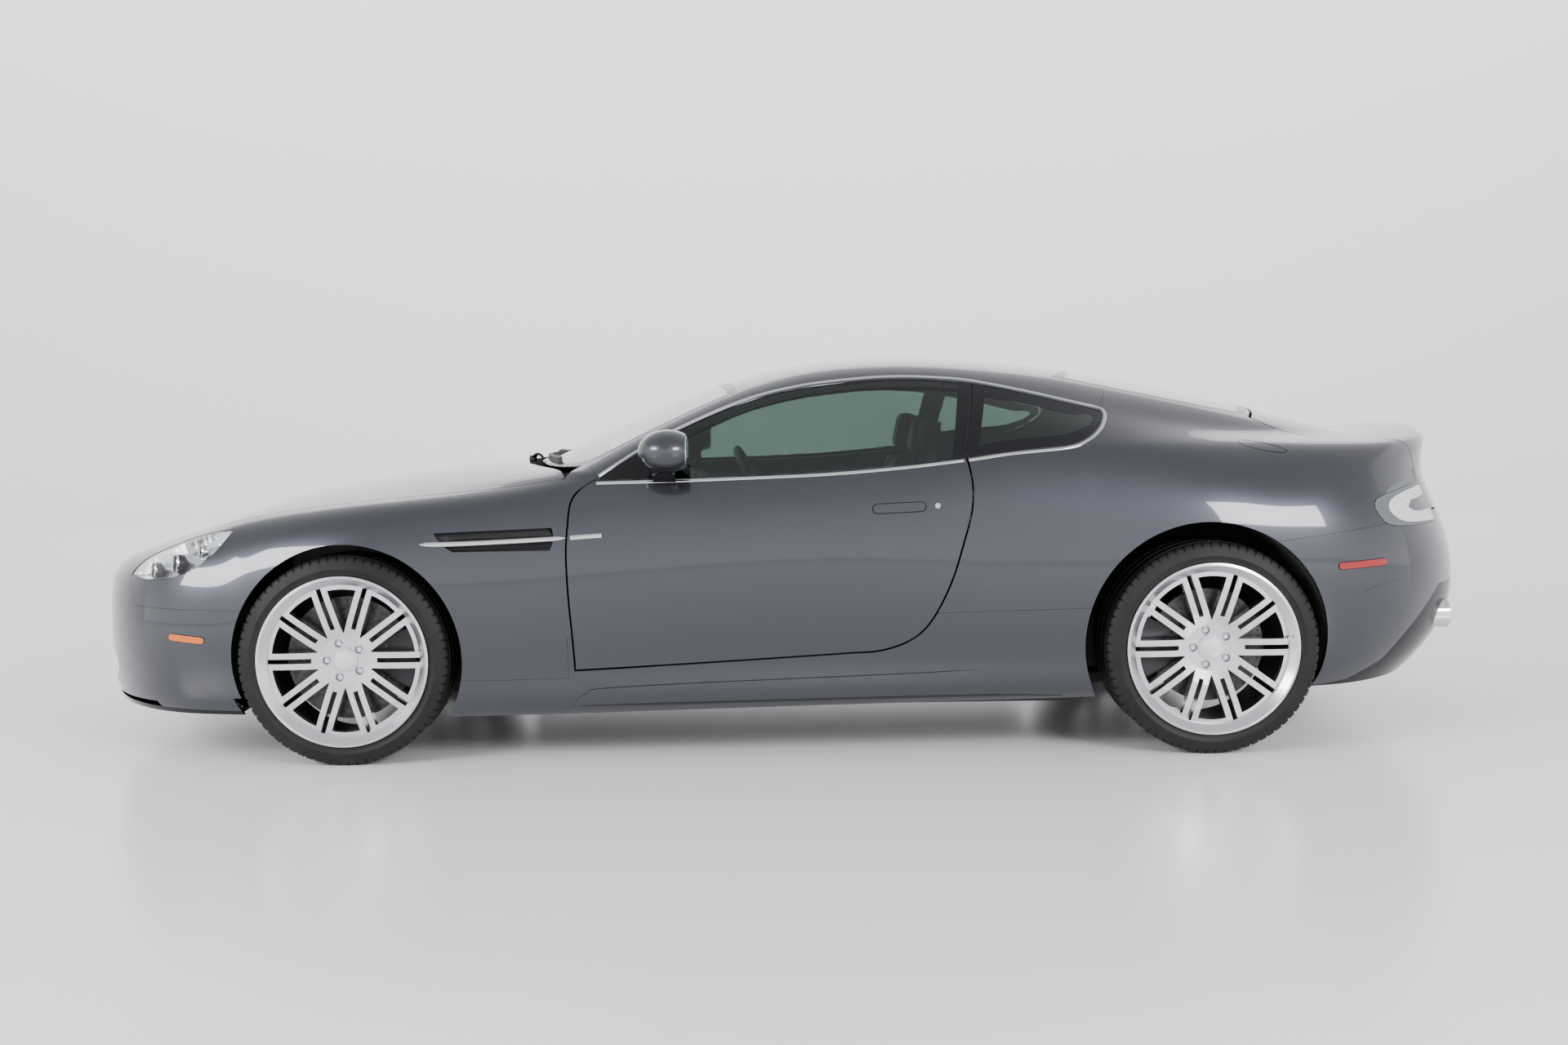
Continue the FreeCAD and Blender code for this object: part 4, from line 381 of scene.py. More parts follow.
class Skin:
    """The body's surface in metres, over the net and its mirror image."""

    SEARCH_STEPS = 8

    def __init__(self):
        net = [row + [(x, -y, z) for x, y, z in reversed(row[:-1])] for row in skin_net()]
        self.net = np.array(net) / 1000
        self.spans = (len(self.net) - 3, len(self.net[0]) - 3)
        u, v = (np.linspace(0, spans, spans * self.SEARCH_STEPS + 1) for spans in self.spans)
        self.start_uv = np.stack(np.meshgrid(u, v, indexing="ij"), -1).reshape(-1, 2)
        start = self.at(self.start_uv)
        self.tree = BVHTree.FromPolygons([Vector(p) for p in start], quads(len(u), len(v), closed=False))
        self.finder = KDTree(len(start))
        for number, point in enumerate(start):
            self.finder.insert(point, number)
        self.finder.balance()

    def at(self, uv):
        i, wi = spline_weights(len(self.net), uv[:, 0])
        j, wj = spline_weights(len(self.net[0]), uv[:, 1])
        block = self.net[(i[:, None] + np.arange(4))[:, :, None], (j[:, None] + np.arange(4))[:, None, :]]
        return np.einsum("na,nb,nabc->nc", wi, wj, block)

    def slopes(self, uv, step=1e-3):
        low = np.clip(uv - step, 0, self.spans)
        high = np.clip(uv + step, 0, self.spans)
        along = self.at(np.stack([high[:, 0], uv[:, 1]], -1)) - self.at(np.stack([low[:, 0], uv[:, 1]], -1))
        across = self.at(np.stack([uv[:, 0], high[:, 1]], -1)) - self.at(np.stack([uv[:, 0], low[:, 1]], -1))
        return (along / (high[:, :1] - low[:, :1]), across / (high[:, 1:] - low[:, 1:]))

    def facing(self, uv):
        along, across = self.slopes(uv)
        normal = np.cross(across, along)
        return normal / np.maximum(np.linalg.norm(normal, axis=1, keepdims=True), 1e-12)

    def nearest(self, points):
        """For each point the closest place on the skin, the skin's direction there, the height of the point
        above the skin (below it counts as negative) and its distance."""
        uv = self.start_uv[[self.finder.find(p)[1] for p in points]]
        for _ in range(4):
            along, across = self.slopes(uv)
            miss = points - self.at(uv)
            a, b, c = (along * along).sum(1), (along * across).sum(1), (across * across).sum(1)
            p, q = (along * miss).sum(1), (across * miss).sum(1)
            wide = np.maximum(a * c - b * b, 1e-14)
            step = np.stack([(c * p - b * q) / wide, (a * q - b * p) / wide], -1)
            uv = np.clip(uv + np.clip(step, -0.5, 0.5), 0, self.spans)
        place, normal = self.at(uv), self.facing(uv)
        miss = points - place
        return place, normal, (miss * normal).sum(1), np.linalg.norm(miss, axis=1)

    def under(self, points, towards):
        """Where a straight line from outside first meets the skin: places and directions."""
        found = [self.tree.ray_cast(Vector(p), Vector(towards))[0] or Vector(p) for p in points]
        return self.nearest(np.array(found))[:2]


OUTSIDE = 2.0


def on_skin(flat, view="side", inset=0.0):
    """Points drawn in the side view (x, z) or the top view (x, y), moved onto the right-hand or upper skin or a
    depth below it, and the skin's directions there."""
    flat = np.array(flat, float)
    far = np.full(len(flat), OUTSIDE)
    if view == "side":
        places, normal = skin.under(np.stack([flat[:, 0], far, flat[:, 1]], -1), (0, -1, 0))
    else:
        places, normal = skin.under(np.stack([flat[:, 0], flat[:, 1], far], -1), (0, 0, -1))
    return places - normal * inset, normal


skin = Skin()
places, directions = on_skin([(0.0, 0.6)])
print("door half width", round(float(places[0][1]), 4), "skin faces", [round(float(c), 2) for c in directions[0]])

# %% [markdown]
# ## Panels
# Each painted panel is copied, its loose triangles are joined, and every corner that lies on the skin takes
# the skin's own direction. Faces that look into the cabin or the wheel arches are not painted on a real car,
# so the depth below the skin decides which finish a face gets. A copy is needed because the CAD mesh itself
# stays as it is.


# %% Helpers that all meshes share
def add_object(name, mesh):
    made = bpy.data.objects.new(name, mesh)
    bpy.context.scene.collection.objects.link(made)
    return made


def wear(piece, *looks):
    """Give a piece these finishes and no others."""
    piece.data.materials.clear()
    for look in looks:
        piece.data.materials.append(look)


def round_below(mesh, degrees):
    """Shade the mesh smooth, but keep edges sharp that turn by more than the angle."""
    mesh.shade_smooth()
    mesh.set_sharp_from_angle(angle=math.radians(degrees))


def clean(mesh, weld=0.0, outwards=True):
    """Join corners that lie closer together than the weld, and turn all the faces outwards."""
    work = bmesh.new()
    work.from_mesh(mesh)
    if weld:
        bmesh.ops.remove_doubles(work, verts=work.verts, dist=weld)
    if outwards:
        bmesh.ops.recalc_face_normals(work, faces=work.faces)
    work.to_mesh(mesh)
    work.free()


def vectors(items, name):
    """An attribute of a mesh's corners or faces, one row of three numbers for each."""
    values = np.zeros(len(items) * 3, np.float32)
    items.foreach_get(name, values)
    return values.reshape(-1, 3)


# %% Copy a solid and give each face its finish
CAD_WELD = 0.00002
ON_SKIN = 0.0004
PAINT_DEPTH = 0.026


def joined_copy(name, node):
    mesh = nodes[node].data.copy()
    mesh.name = name
    clean(mesh, weld=CAD_WELD, outwards=False)
    return add_object(name, mesh)


def put(piece, body, *replaced, slot=None):
    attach(piece, body)
    if replaced:
        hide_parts(*replaced)
    return piece


def exact_normals(piece):
    """Corners on the skin take its direction; tells which faces lie on it, and how high each face is above it."""
    mesh = piece.data
    round_below(mesh, 28)
    _, normal, height, distance = skin.nearest(vectors(mesh.vertices, "co").astype(float))
    corner = np.zeros(len(mesh.loops), np.int32)
    mesh.loops.foreach_get("vertex_index", corner)
    starts = np.array([p.loop_start for p in mesh.polygons])
    totals = np.array([p.loop_total for p in mesh.polygons])
    face_on = np.logical_and.reduceat((distance < ON_SKIN)[corner], starts)
    face_on &= (vectors(mesh.polygons, "normal") * normal[corner[starts]]).sum(1) > 0.85
    face_of = np.repeat(np.arange(len(mesh.polygons)), totals)
    custom = np.where(face_on[face_of][:, None], normal[corner], 0.0)
    mesh.normals_split_custom_set([tuple(n) for n in custom])
    return face_on, height[corner[starts]]


def painted(name, node, body, inner):
    """A panel: painted outside, with another finish on the faces that lie deep below the skin."""
    piece = joined_copy(name, node)
    face_on, height = exact_normals(piece)
    wear(piece, paint, inner)
    deep = (~face_on) & (height < -PAINT_DEPTH)
    piece.data.polygons.foreach_set("material_index", deep.astype(np.int32))
    return put(piece, body, node, slot="paint")


# %% The painted panels
# piece, solid, body, finish of its inner faces
PANELS = [
    ("bonnet_panel", "bonnet", "bonnet", underseal),
    ("wing_panels", "front_wings", "body", underseal),
    ("bumper_front_skin", "front_bumper", "body", grained_black),
    ("roof_panel", "roof", "body", headlining),
    ("screen_posts", "windscreen_pillars", "body", headlining),
    ("quarter_panels", "rear_quarters", "body", leather),
    ("bumper_rear_skin", "rear_bumper", "body", grained_black),
    ("sill_skirts", "side_skirts", "body", underseal),
    ("boot_lid_panel", "boot_lid", "boot_lid", carpet),
    ("door_left_panel", "door_panel_left", "door_left", leather),
    ("door_right_panel", "door_panel_right", "door_right", leather),
]
for panel in PANELS:
    print(panel[0], len(painted(*panel).data.polygons), "faces")

# %% [markdown]
# ## Pieces laid on the skin
# Much of a car's trim follows its skin: the bright strip round the windows, the blade in the side vent, lamp
# covers, black borders printed on the glass. Such a piece is drawn flat, as in a side view, and every point
# is then pushed sideways until it meets the skin. A strip also needs a cross-section, which is swept along
# the path.


# %% Helpers for meshes
def mesh_piece(name, points, faces, look, smooth=True, angle=35):
    mesh = bpy.data.meshes.new(name)
    mesh.from_pydata([tuple(map(float, p)) for p in points], [], faces)
    clean(mesh, weld=0.00001)
    if smooth:
        round_below(mesh, angle)
    mesh.materials.append(look)
    return add_object(name, mesh)


def lofted(name, rows, look, ends=True):
    """A piece through rows of points, each row one closed loop, with both end loops filled."""
    count = len(rows[0])
    points = [point for row in rows for point in row]
    faces = quads(len(rows), count)
    if ends:
        faces += [tuple(range(count)), tuple(reversed(range(len(points) - count, len(points))))]
    return mesh_piece(name, points, faces, look)


def flipped(piece, name):
    """The same piece for the other side of the car, mirrored across the middle plane."""
    mesh = piece.data.copy()
    mesh.name = name
    mesh.transform(Matrix.Diagonal((1, -1, 1, 1)))
    mesh.flip_normals()
    return add_object(name, mesh)


def both_sides(piece, body, slot=None):
    """Ride the right-hand piece and its mirror image; a body name with %s exists once for each side."""
    base = piece.name
    piece.name = base + "_right"
    other = flipped(piece, base + "_left")
    for item, side in ((piece, "right"), (other, "left")):
        put(item, body % side if "%s" in body else body, slot=slot)
    return piece, other


def joined(pieces, name):
    """Several objects made one mesh."""
    work = bmesh.new()
    looks = []
    for piece in pieces:
        start = len(work.faces)
        work.from_mesh(piece.data)
        work.faces.ensure_lookup_table()
        for face in work.faces[start:]:
            look = piece.data.materials[face.material_index]
            if look not in looks:
                looks.append(look)
            face.material_index = looks.index(look)
    mesh = bpy.data.meshes.new(name)
    work.to_mesh(mesh)
    work.free()
    for look in looks:
        mesh.materials.append(look)
    for piece in pieces:
        bpy.data.objects.remove(piece)
    mesh.set_sharp_from_angle(angle=math.radians(35))
    return add_object(name, mesh)


def curve_through(points, spacing=0.01):
    """Points evenly spaced on a smooth curve through the given ones (Catmull-Rom)."""
    p = np.array(points, float)
    p = np.vstack([2 * p[0] - p[1], p, 2 * p[-1] - p[-2]])
    result = []
    for a, b, c, d in zip(p, p[1:], p[2:], p[3:]):
        count = max(1, int(np.linalg.norm(c - b) / spacing))
        for t in np.arange(count) / count:
            result.append(0.5 * (2 * b + (c - a) * t + (2 * a - 5 * b + 4 * c - d) * t * t
                                 + (3 * b - a - 3 * c + d) * t ** 3))
    result.append(p[-2])
    return np.array(result)


def unit(rows):
    return rows / np.linalg.norm(rows, axis=1, keepdims=True)


def directions_along(path):
    return unit(np.gradient(path, axis=0))


def circle(count, radius=1.0, start=0.0, centre=(0.0, 0.0)):
    """Points evenly spaced on a circle."""
    return [(centre[0] + radius * math.cos(start + 2 * math.pi * k / count),
             centre[1] + radius * math.sin(start + 2 * math.pi * k / count)) for k in range(count)]


# %% A strip swept along a path on the skin
ROUNDED = [(-0.5, -0.3), (-0.5, 0.45), (-0.38, 0.85), (-0.15, 1.0), (0.15, 1.0), (0.38, 0.85), (0.5, 0.45),
           (0.5, -0.3)]
FLAT = [(-0.5, -0.5), (-0.5, 0.5), (0.5, 0.5), (0.5, -0.5)]


def strip(name, path, width, height, look, section=ROUNDED, inset=0.0, taper=0.0):
    """Sweep the section along side-view points; the ends may taper over a length."""
    places, normal = on_skin(path, inset=inset)
    across = unit(np.cross(normal, directions_along(places)))
    travelled = np.concatenate([[0], np.cumsum(np.linalg.norm(np.diff(places, axis=0), axis=1))])
    rows = []
    for place, side, out, gone in zip(places, across, normal, travelled):
        shrink = min(1.0, 0.25 + min(gone, travelled[-1] - gone) / taper) if taper else 1.0
        rows.append([place + side * a * width * shrink + out * b * height for a, b in section])
    return lofted(name, rows, look)


# %% A sheet that fills an outline on the skin
def closed_sheet(name, points, faces, normal, inset, thickness, look, angle=50):
    """A sheet pushed in by its inset (a number or one for each point), with a back and a rim."""
    top = points - normal * np.broadcast_to(inset, len(points))[:, None]
    low = top - normal * thickness
    edges = {}
    for face in faces:
        for a, b in zip(face, face[1:] + face[:1]):
            edges[(a, b)] = True
    count = len(points)
    rim = [(b, a, a + count, b + count) for a, b in edges if (b, a) not in edges]
    back = [tuple(v + count for v in reversed(face)) for face in faces]
    return mesh_piece(name, np.vstack([top, low]), faces + back + rim, look, angle=angle)


def sliced(work, axis, levels):
    """Cut the mesh across an axis at each level."""
    for level in levels:
        place, normal = Vector((0, 0, 0)), Vector((0, 0, 0))
        place[axis] = float(level)
        normal[axis] = 1
        bmesh.ops.bisect_plane(work, geom=work.verts[:] + work.edges[:] + work.faces[:], plane_co=place,
                               plane_no=normal)


def patch(name, outline, look, inset=0.0, thickness=0.002, grid=0.02):
    """A thin sheet that fills a side-view outline and follows the skin; a negative inset lifts it off."""
    work = bmesh.new()
    work.faces.new([work.verts.new((x, 0, z)) for x, z in outline])
    bmesh.ops.triangulate(work, faces=work.faces)
    for axis in (0, 2):
        values = [v.co[axis] for v in work.verts]
        sliced(work, axis, np.arange(min(values) + grid, max(values), grid))
    work.verts.index_update()
    places, normal = on_skin([(v.co.x, v.co.z) for v in work.verts], inset=inset)
    faces = [tuple(v.index for v in face.verts) for face in work.faces]
    work.free()
    return closed_sheet(name, places, faces, normal, 0.0, thickness, look, angle=40)


# %% [markdown]
# ## Copies around an axle
# Tread blocks, wheel nuts and the holes of a brake disc repeat round a circle. One copy is modelled, and a
# Geometry Nodes tree sets it round the axle as many times as it is told. Changing the count is then one
# number, where copies made by hand would all have to be redone.


# %% The tree that repeats a piece round the Y axis
def new_tree(name, **inputs):
    tree = bpy.data.node_groups.new(name, "GeometryNodeTree")
    tree.interface.new_socket("Geometry", in_out="OUTPUT", socket_type="NodeSocketGeometry")
    for label, kind in inputs.items():
        tree.interface.new_socket(label, in_out="INPUT", socket_type="NodeSocket" + kind)
    return tree, tree.nodes.new("NodeGroupInput"), tree.nodes.new("NodeGroupOutput")


def linked(tree, *pairs):
    for source, target in pairs:
        tree.links.new(source, target)


def finish_tree(tree, inside, outside, instances, weld=0.0):
    """Realize the copies, weld their seams and give them their finish."""
    real = tree.nodes.new("GeometryNodeRealizeInstances")
    look = tree.nodes.new("GeometryNodeSetMaterial")
    linked(tree, (instances, real.inputs[0]), (inside.outputs["Finish"], look.inputs["Material"]),
           (look.outputs[0], outside.inputs[0]))
    if weld:
        merge = tree.nodes.new("GeometryNodeMergeByDistance")
        merge.inputs["Distance"].default_value = weld
        linked(tree, (real.outputs[0], merge.inputs[0]), (merge.outputs[0], look.inputs[0]))
    else:
        linked(tree, (real.outputs[0], look.inputs[0]))
    return tree


def ring_of_copies():
    tree, inside, outside = new_tree("ring_of_copies", Piece="Object", Copies="Int", Turn="Float",
                                     Finish="Material")
    dots = tree.nodes.new("GeometryNodePoints")
    piece = tree.nodes.new("GeometryNodeObjectInfo")
    number = tree.nodes.new("GeometryNodeInputIndex")
    angle = tree.nodes.new("ShaderNodeMath")
    angle.operation = "MULTIPLY"
    rotation = tree.nodes.new("FunctionNodeAxisAngleToRotation")
    rotation.inputs["Axis"].default_value = (0, 1, 0)
    copies = tree.nodes.new("GeometryNodeInstanceOnPoints")
    linked(tree, (inside.outputs["Copies"], dots.inputs["Count"]), (inside.outputs["Piece"], piece.inputs[0]),
           (number.outputs[0], angle.inputs[0]), (inside.outputs["Turn"], angle.inputs[1]),
           (angle.outputs[0], rotation.inputs["Angle"]), (dots.outputs[0], copies.inputs["Points"]),
           (piece.outputs["Geometry"], copies.inputs["Instance"]),
           (rotation.outputs[0], copies.inputs["Rotation"]))
    return finish_tree(tree, inside, outside, copies.outputs[0], weld=0.00005)


def row_of_copies():
    tree, inside, outside = new_tree("row_of_copies", Piece="Object", Copies="Int", Step="Vector",
                                     Finish="Material")
    dots = tree.nodes.new("GeometryNodeMeshLine")
    piece = tree.nodes.new("GeometryNodeObjectInfo")
    copies = tree.nodes.new("GeometryNodeInstanceOnPoints")
    linked(tree, (inside.outputs["Copies"], dots.inputs["Count"]), (inside.outputs["Step"], dots.inputs["Offset"]),
           (inside.outputs["Piece"], piece.inputs[0]), (dots.outputs[0], copies.inputs["Points"]),
           (piece.outputs["Geometry"], copies.inputs["Instance"]))
    return finish_tree(tree, inside, outside, copies.outputs[0])


RING = ring_of_copies()
ROW = row_of_copies()


def grown(name, tree, **values):
    """Run a tree on an empty host and keep the result as a plain mesh; the pattern piece is removed."""
    host = add_object(name + "_host", bpy.data.meshes.new(name + "_host"))
    modifier = host.modifiers.new("copies", "NODES")
    modifier.node_group = tree
    for item in tree.interface.items_tree:
        if item.in_out == "INPUT" and item.name in values:
            modifier[item.identifier] = values[item.name]
    bpy.context.view_layer.update()
    mesh = bpy.data.meshes.new_from_object(host.evaluated_get(bpy.context.evaluated_depsgraph_get()))
    mesh.name = name
    made = add_object(name, mesh)
    bpy.data.objects.remove(host)
    bpy.data.objects.remove(values["Piece"])
    round_below(mesh, 35)
    return made


def ring(name, piece, copies, look):
    return grown(name, RING, Piece=piece, Copies=copies, Turn=2 * math.pi / copies, Finish=look)


def turned(name, outline, look, sides=48):
    """A shape turned about the Y axis from (radius, y) points, one slice repeated by the tree."""
    points = [(r * math.cos(angle), y, -r * math.sin(angle))
              for angle in (0, 2 * math.pi / sides) for r, y in outline]
    part = mesh_piece(name + "_slice", points, quads(2, len(outline), closed=False), look)
    made = ring(name, part, sides, look)
    clean(made.data)
    return made


def moved(piece, place):
    """Write the place into the mesh, so that the object itself stays at the origin."""
    piece.data.transform(Matrix.Translation(place))
    return piece


# %% [markdown]
# ## Tyres
# A low tyre has a plain rim guard, a short bulging side and a flat tread with four round grooves and short
# slots at its shoulders. One pitch of the tread is modelled as a grid, whose points dip where a groove or
# slot runs, and the ring tree closes it into a tyre. Sculpting the whole tyre would give the same shape at
# seventy times the work.

# %% One pitch of a tyre, then the whole tyre
WHEELS = {"front": {"hub": (-1.390, 0.784, 0.334), "radius": 0.334, "width": 0.245, "disc": 0.197},
          "rear": {"hub": (1.350, 0.781, 0.336), "radius": 0.336, "width": 0.292, "disc": 0.180}}
GROOVES = [(-0.33, 0.010), (-0.11, 0.011), (0.11, 0.011), (0.33, 0.010)]
GROOVE_DEPTH = 0.007
SLOT_DEPTH = 0.0045
SLOT_COLUMNS = (2, 3)
PITCHES = 72


def tyre_rows(radius, width):
    """(radius, y, kind) across one tyre, from the inner bead round the tread to the outer bead."""
    half = width / 2
    side = [(0.258, half - 0.014), (0.264, half - 0.0125), (0.2715, half - 0.0095), (0.276, half - 0.006),
            (0.281, half - 0.0065), (0.288, half - 0.003), (0.2935, half - 0.0008), (0.298, half - 0.0022),
            (radius - 0.026, half - 0.0062), (radius - 0.017, half - 0.0098), (radius - 0.009, half - 0.0135),
            (radius - 0.004, half - 0.0180), (radius - 0.0012, half - 0.0235)]
    rows = [(r, -y, "side") for r, y in side]
    for place, wide in GROOVES:
        y = place * width
        rows += [(radius, y - wide / 2, "rib"), (radius - GROOVE_DEPTH, y - wide / 2 + 0.0015, "groove"),
                 (radius - GROOVE_DEPTH, y + wide / 2 - 0.0015, "groove"), (radius, y + wide / 2, "rib")]
    return rows + [(r, y, "side") for r, y in reversed(side)]


def tyre(name, radius, width):
    columns = []
    for column, share in enumerate([0.0, 0.46, 0.5, 0.66, 0.70, 1.0]):
        points = []
        for r, y, kind in tyre_rows(radius, width):
            shoulder = r > radius - 0.013 and kind != "groove" and abs(y) > 0.34 * width
            if column in SLOT_COLUMNS and shoulder:
                r -= SLOT_DEPTH
            lean = 0.35 * abs(y) / width
            angle = (share + lean) * 2 * math.pi / PITCHES
            points.append((r * math.cos(angle), y, -r * math.sin(angle)))
        columns.append(points)
    made = ring(name, lofted(name + "_pitch", columns, tyre_rubber, ends=False), PITCHES, tyre_rubber)
    clean(made.data)
    return made


for end, wheel in WHEELS.items():
    made = moved(tyre("tyre_" + end, wheel["radius"], wheel["width"]), wheel["hub"])
    right, left = both_sides(made, "wheel_" + end + "_%s", slot="tyre")
    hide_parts("tyre_%s_right" % end)
    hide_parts("tyre_%s_left" % end)
    print(right.name, len(right.data.polygons), "faces")

# %% [markdown]
# ## Wheels and brakes
# The spokes are cut in CAD, so here the wheel only gets its finish and its small parts: five hexagon nuts in
# their pockets, a plain domed cap, a valve with its cap, and drillings in the brake disc. The holes are not cut:
# thin dark discs on the iron are painted shade of their insides, because a hole of that size shows only as a dark
# dot.

# %% Nuts, caps, valves, and painted shade dots for the disc drillings
NUT_CIRCLE = 0.05715
VALVE_PLACE = (0.2385, 0.03)
DISC_FACE = 0.104
DRILLINGS = [(0.0, 0.93), (0.33, 0.80), (0.66, 0.67), (0.15, 0.56)]
DRILLING_SPOKES = 24


def stud(name, sides, radius, y0, y1, look, bevel, centre):
    """A many-sided stud along Y with a chamfered outer end, at an (x, z) place."""
    rows = [[(x, y, z) for x, z in circle(sides, r, centre=centre)]
            for r, y in ((radius, y0), (radius, y1 - bevel), (radius - bevel, y1))]
    return lofted(name, rows, look)


for end, wheel in WHEELS.items():
    face = wheel["width"] / 2 - 0.004
    nut = joined([stud("nut", 6, 0.0105, face - 0.062, face - 0.040, chrome, 0.002, (NUT_CIRCLE, 0)),
                  stud("collar", 24, 0.0132, face - 0.0625, face - 0.057, chrome, 0.001, (NUT_CIRCLE, 0))],
                 "nut_one")
    nuts = ring("wheel_nuts_" + end, nut, 5, chrome)
    nuts.data.transform(Matrix.Rotation(math.pi, 4, "Y"))
    cap = turned("wheel_cap_" + end, [(0.0, face - 0.0262), (0.012, face - 0.0266), (0.024, face - 0.0275),
                                      (0.030, face - 0.0285), (0.0325, face - 0.031), (0.0325, face - 0.036)],
                 silvered)
    valve = joined([stud("stem", 16, 0.0032, face - 0.03, face - 0.004, seal_rubber, 0.0005, VALVE_PLACE),
                    stud("cap", 16, 0.0045, face - 0.012, face + 0.001, chrome, 0.001, VALVE_PLACE)],
                   "wheel_valve_" + end)
    parts = moved(joined([nuts, cap, valve], "wheel_fittings_" + end), wheel["hub"])
    both_sides(parts, "wheel_" + end + "_%s", slot="alloy")
    # Dark discs on the disc face are painted shade where the drilled holes would be; no hole is cut.
    dots = []
    outer = wheel["width"] / 2 - DISC_FACE
    for turn, share in DRILLINGS:
        angle = 2 * math.pi / DRILLING_SPOKES * turn
        radius = wheel["disc"] * share
        dots.append(stud("dot", 10, 0.0042, outer - 0.001, outer + 0.0002, seal_rubber, 0.0001,
                         (radius * math.cos(angle), radius * math.sin(angle))))
    holes = ring("disc_drillings_" + end, joined(dots, "dots"), DRILLING_SPOKES, seal_rubber)
    both_sides(moved(holes, wheel["hub"]), "wheel_" + end + "_%s")
    for side in ("left", "right"):
        for kind, look in (("rim", alloy), ("disc", iron)):
            wear(nodes["%s_%s_%s" % (kind, end, side)], look)
print("wheel fittings on", len(WHEELS) * 2, "wheels")

# %% [markdown]
# ## Bright trim and the side vent
# A thin bright strip frames the side windows, and a bright blade runs through the vent behind the front
# wheel. Both are strips on the skin. The window strip changes owner at the door: above the glass it is fixed
# to the body, below it rides with the door, and behind the door it is the body's again.

# %% Window frame strip and vent blade
RAIL = [(-0.575, 0.905), (-0.456, 0.979), (-0.323, 1.051), (-0.116, 1.136), (0.070, 1.180), (0.256, 1.200),
        (0.386, 1.205), (0.510, 1.200), (0.632, 1.187), (0.813, 1.149), (0.940, 1.118), (1.038, 1.094),
        (1.054, 1.082), (1.052, 1.064), (1.026, 1.028), (0.975, 0.993), (0.905, 0.971), (0.728, 0.955),
        (0.592, 0.937)]
DOOR_BELT = [(0.577, 0.936), (0.369, 0.915), (0.109, 0.898), (-0.296, 0.887), (-0.580, 0.883)]
BLADE = [(-1.131, 0.7015), (-0.987, 0.7035), (-0.803, 0.710), (-0.676, 0.716)]
BLADE_TAIL = [(-0.660, 0.7167), (-0.562, 0.7225)]
BLADE_SIZE = (0.0155, 0.006)
VENT = [(-1.093, 0.736), (-0.921, 0.745), (-0.748, 0.751), (-0.731, 0.747), (-0.723, 0.731), (-0.721, 0.688),
        (-0.741, 0.671), (-0.881, 0.668), (-1.018, 0.662), (-1.038, 0.670), (-1.057, 0.690)]
for name, path, body in (("window_strip_upper", RAIL, "body"), ("window_strip_door", DOOR_BELT, "door_%s")):
    made = strip(name, curve_through(path, 0.008), 0.0105, 0.0032, satin)
    both_sides(made, body, slot="satin")
both_sides(strip("vent_blade", curve_through(BLADE, 0.02), *BLADE_SIZE, satin, taper=0.02), "body")
both_sides(strip("vent_blade_tail", curve_through(BLADE_TAIL, 0.02), *BLADE_SIZE, satin), "door_%s")
for number, offset in enumerate((-0.0052, 0.0052)):
    groove = curve_through([(x, z + offset) for x, z in BLADE], 0.02)[1:-1]
    both_sides(strip("vent_blade_line_%d" % number, groove, 0.0012, 0.0066, gloss_black, FLAT), "body")
both_sides(patch("vent_back", VENT, grained_black, inset=0.027, thickness=0.002, grid=0.03), "body")
slat = strip("slat", curve_through([(-1.045, 0.684), (-0.735, 0.690)], 0.03), 0.002, 0.016, gloss_black, FLAT,
             inset=0.016)
louvres = grown("vent_louvres", ROW, Piece=slat, Copies=5, Step=(0.0, 0.0, 0.0105), Finish=gloss_black)
both_sides(louvres, "body")

# %% [markdown]
# ## Glass
# The panes are copies of the CAD glass. Clear glass bends light at every facet of its mesh, so both faces of
# a pane take the exact direction of the skin, which they run parallel to. Smoothing the mesh alone would
# round the edges of the glass as well.


# %% Panes without facets
def pane(name, node, body, look):
    """A copy of a CAD pane whose two faces bend light as the smooth skin would."""
    piece = joined_copy(name, node)
    mesh = piece.data
    round_below(mesh, 40)
    normal = skin.nearest(np.array([v.co for v in mesh.vertices]))[1]
    custom = np.zeros((len(mesh.loops), 3))
    for face in mesh.polygons:
        agrees = float(np.dot(normal[mesh.loops[face.loop_start].vertex_index], face.normal))
        if abs(agrees) > 0.8:
            for number in face.loop_indices:
                custom[number] = math.copysign(1.0, agrees) * normal[mesh.loops[number].vertex_index]
    mesh.normals_split_custom_set([tuple(n) for n in custom])
    wear(piece, look)
    return put(piece, body, node, slot="glass")


panes = [pane("windscreen_pane", "windscreen", "body", screen_glass),
         pane("rear_screen_pane", "rear_screen", "body", screen_glass),
         pane("quarter_panes", "quarter_windows", "body", side_glass),
         pane("door_pane_left", "door_glass_left", "door_left", side_glass),
         pane("door_pane_right", "door_glass_right", "door_right", side_glass)]
print("panes:", {piece.name: len(piece.data.polygons) for piece in panes})

# %% [markdown]
# ## Glass borders
# Car glass has a black border baked into its edge, which hides the glue and the seals. It is a thin sheet
# just above the glass. The post between the door glass and the rear side glass is the same black. The screens
# get theirs from the same outline, drawn once as a band between two loops.

# %% Black borders round the side glass
BORDER_DEPTH = 0.0011
SEAL_DEPTH = 0.0072


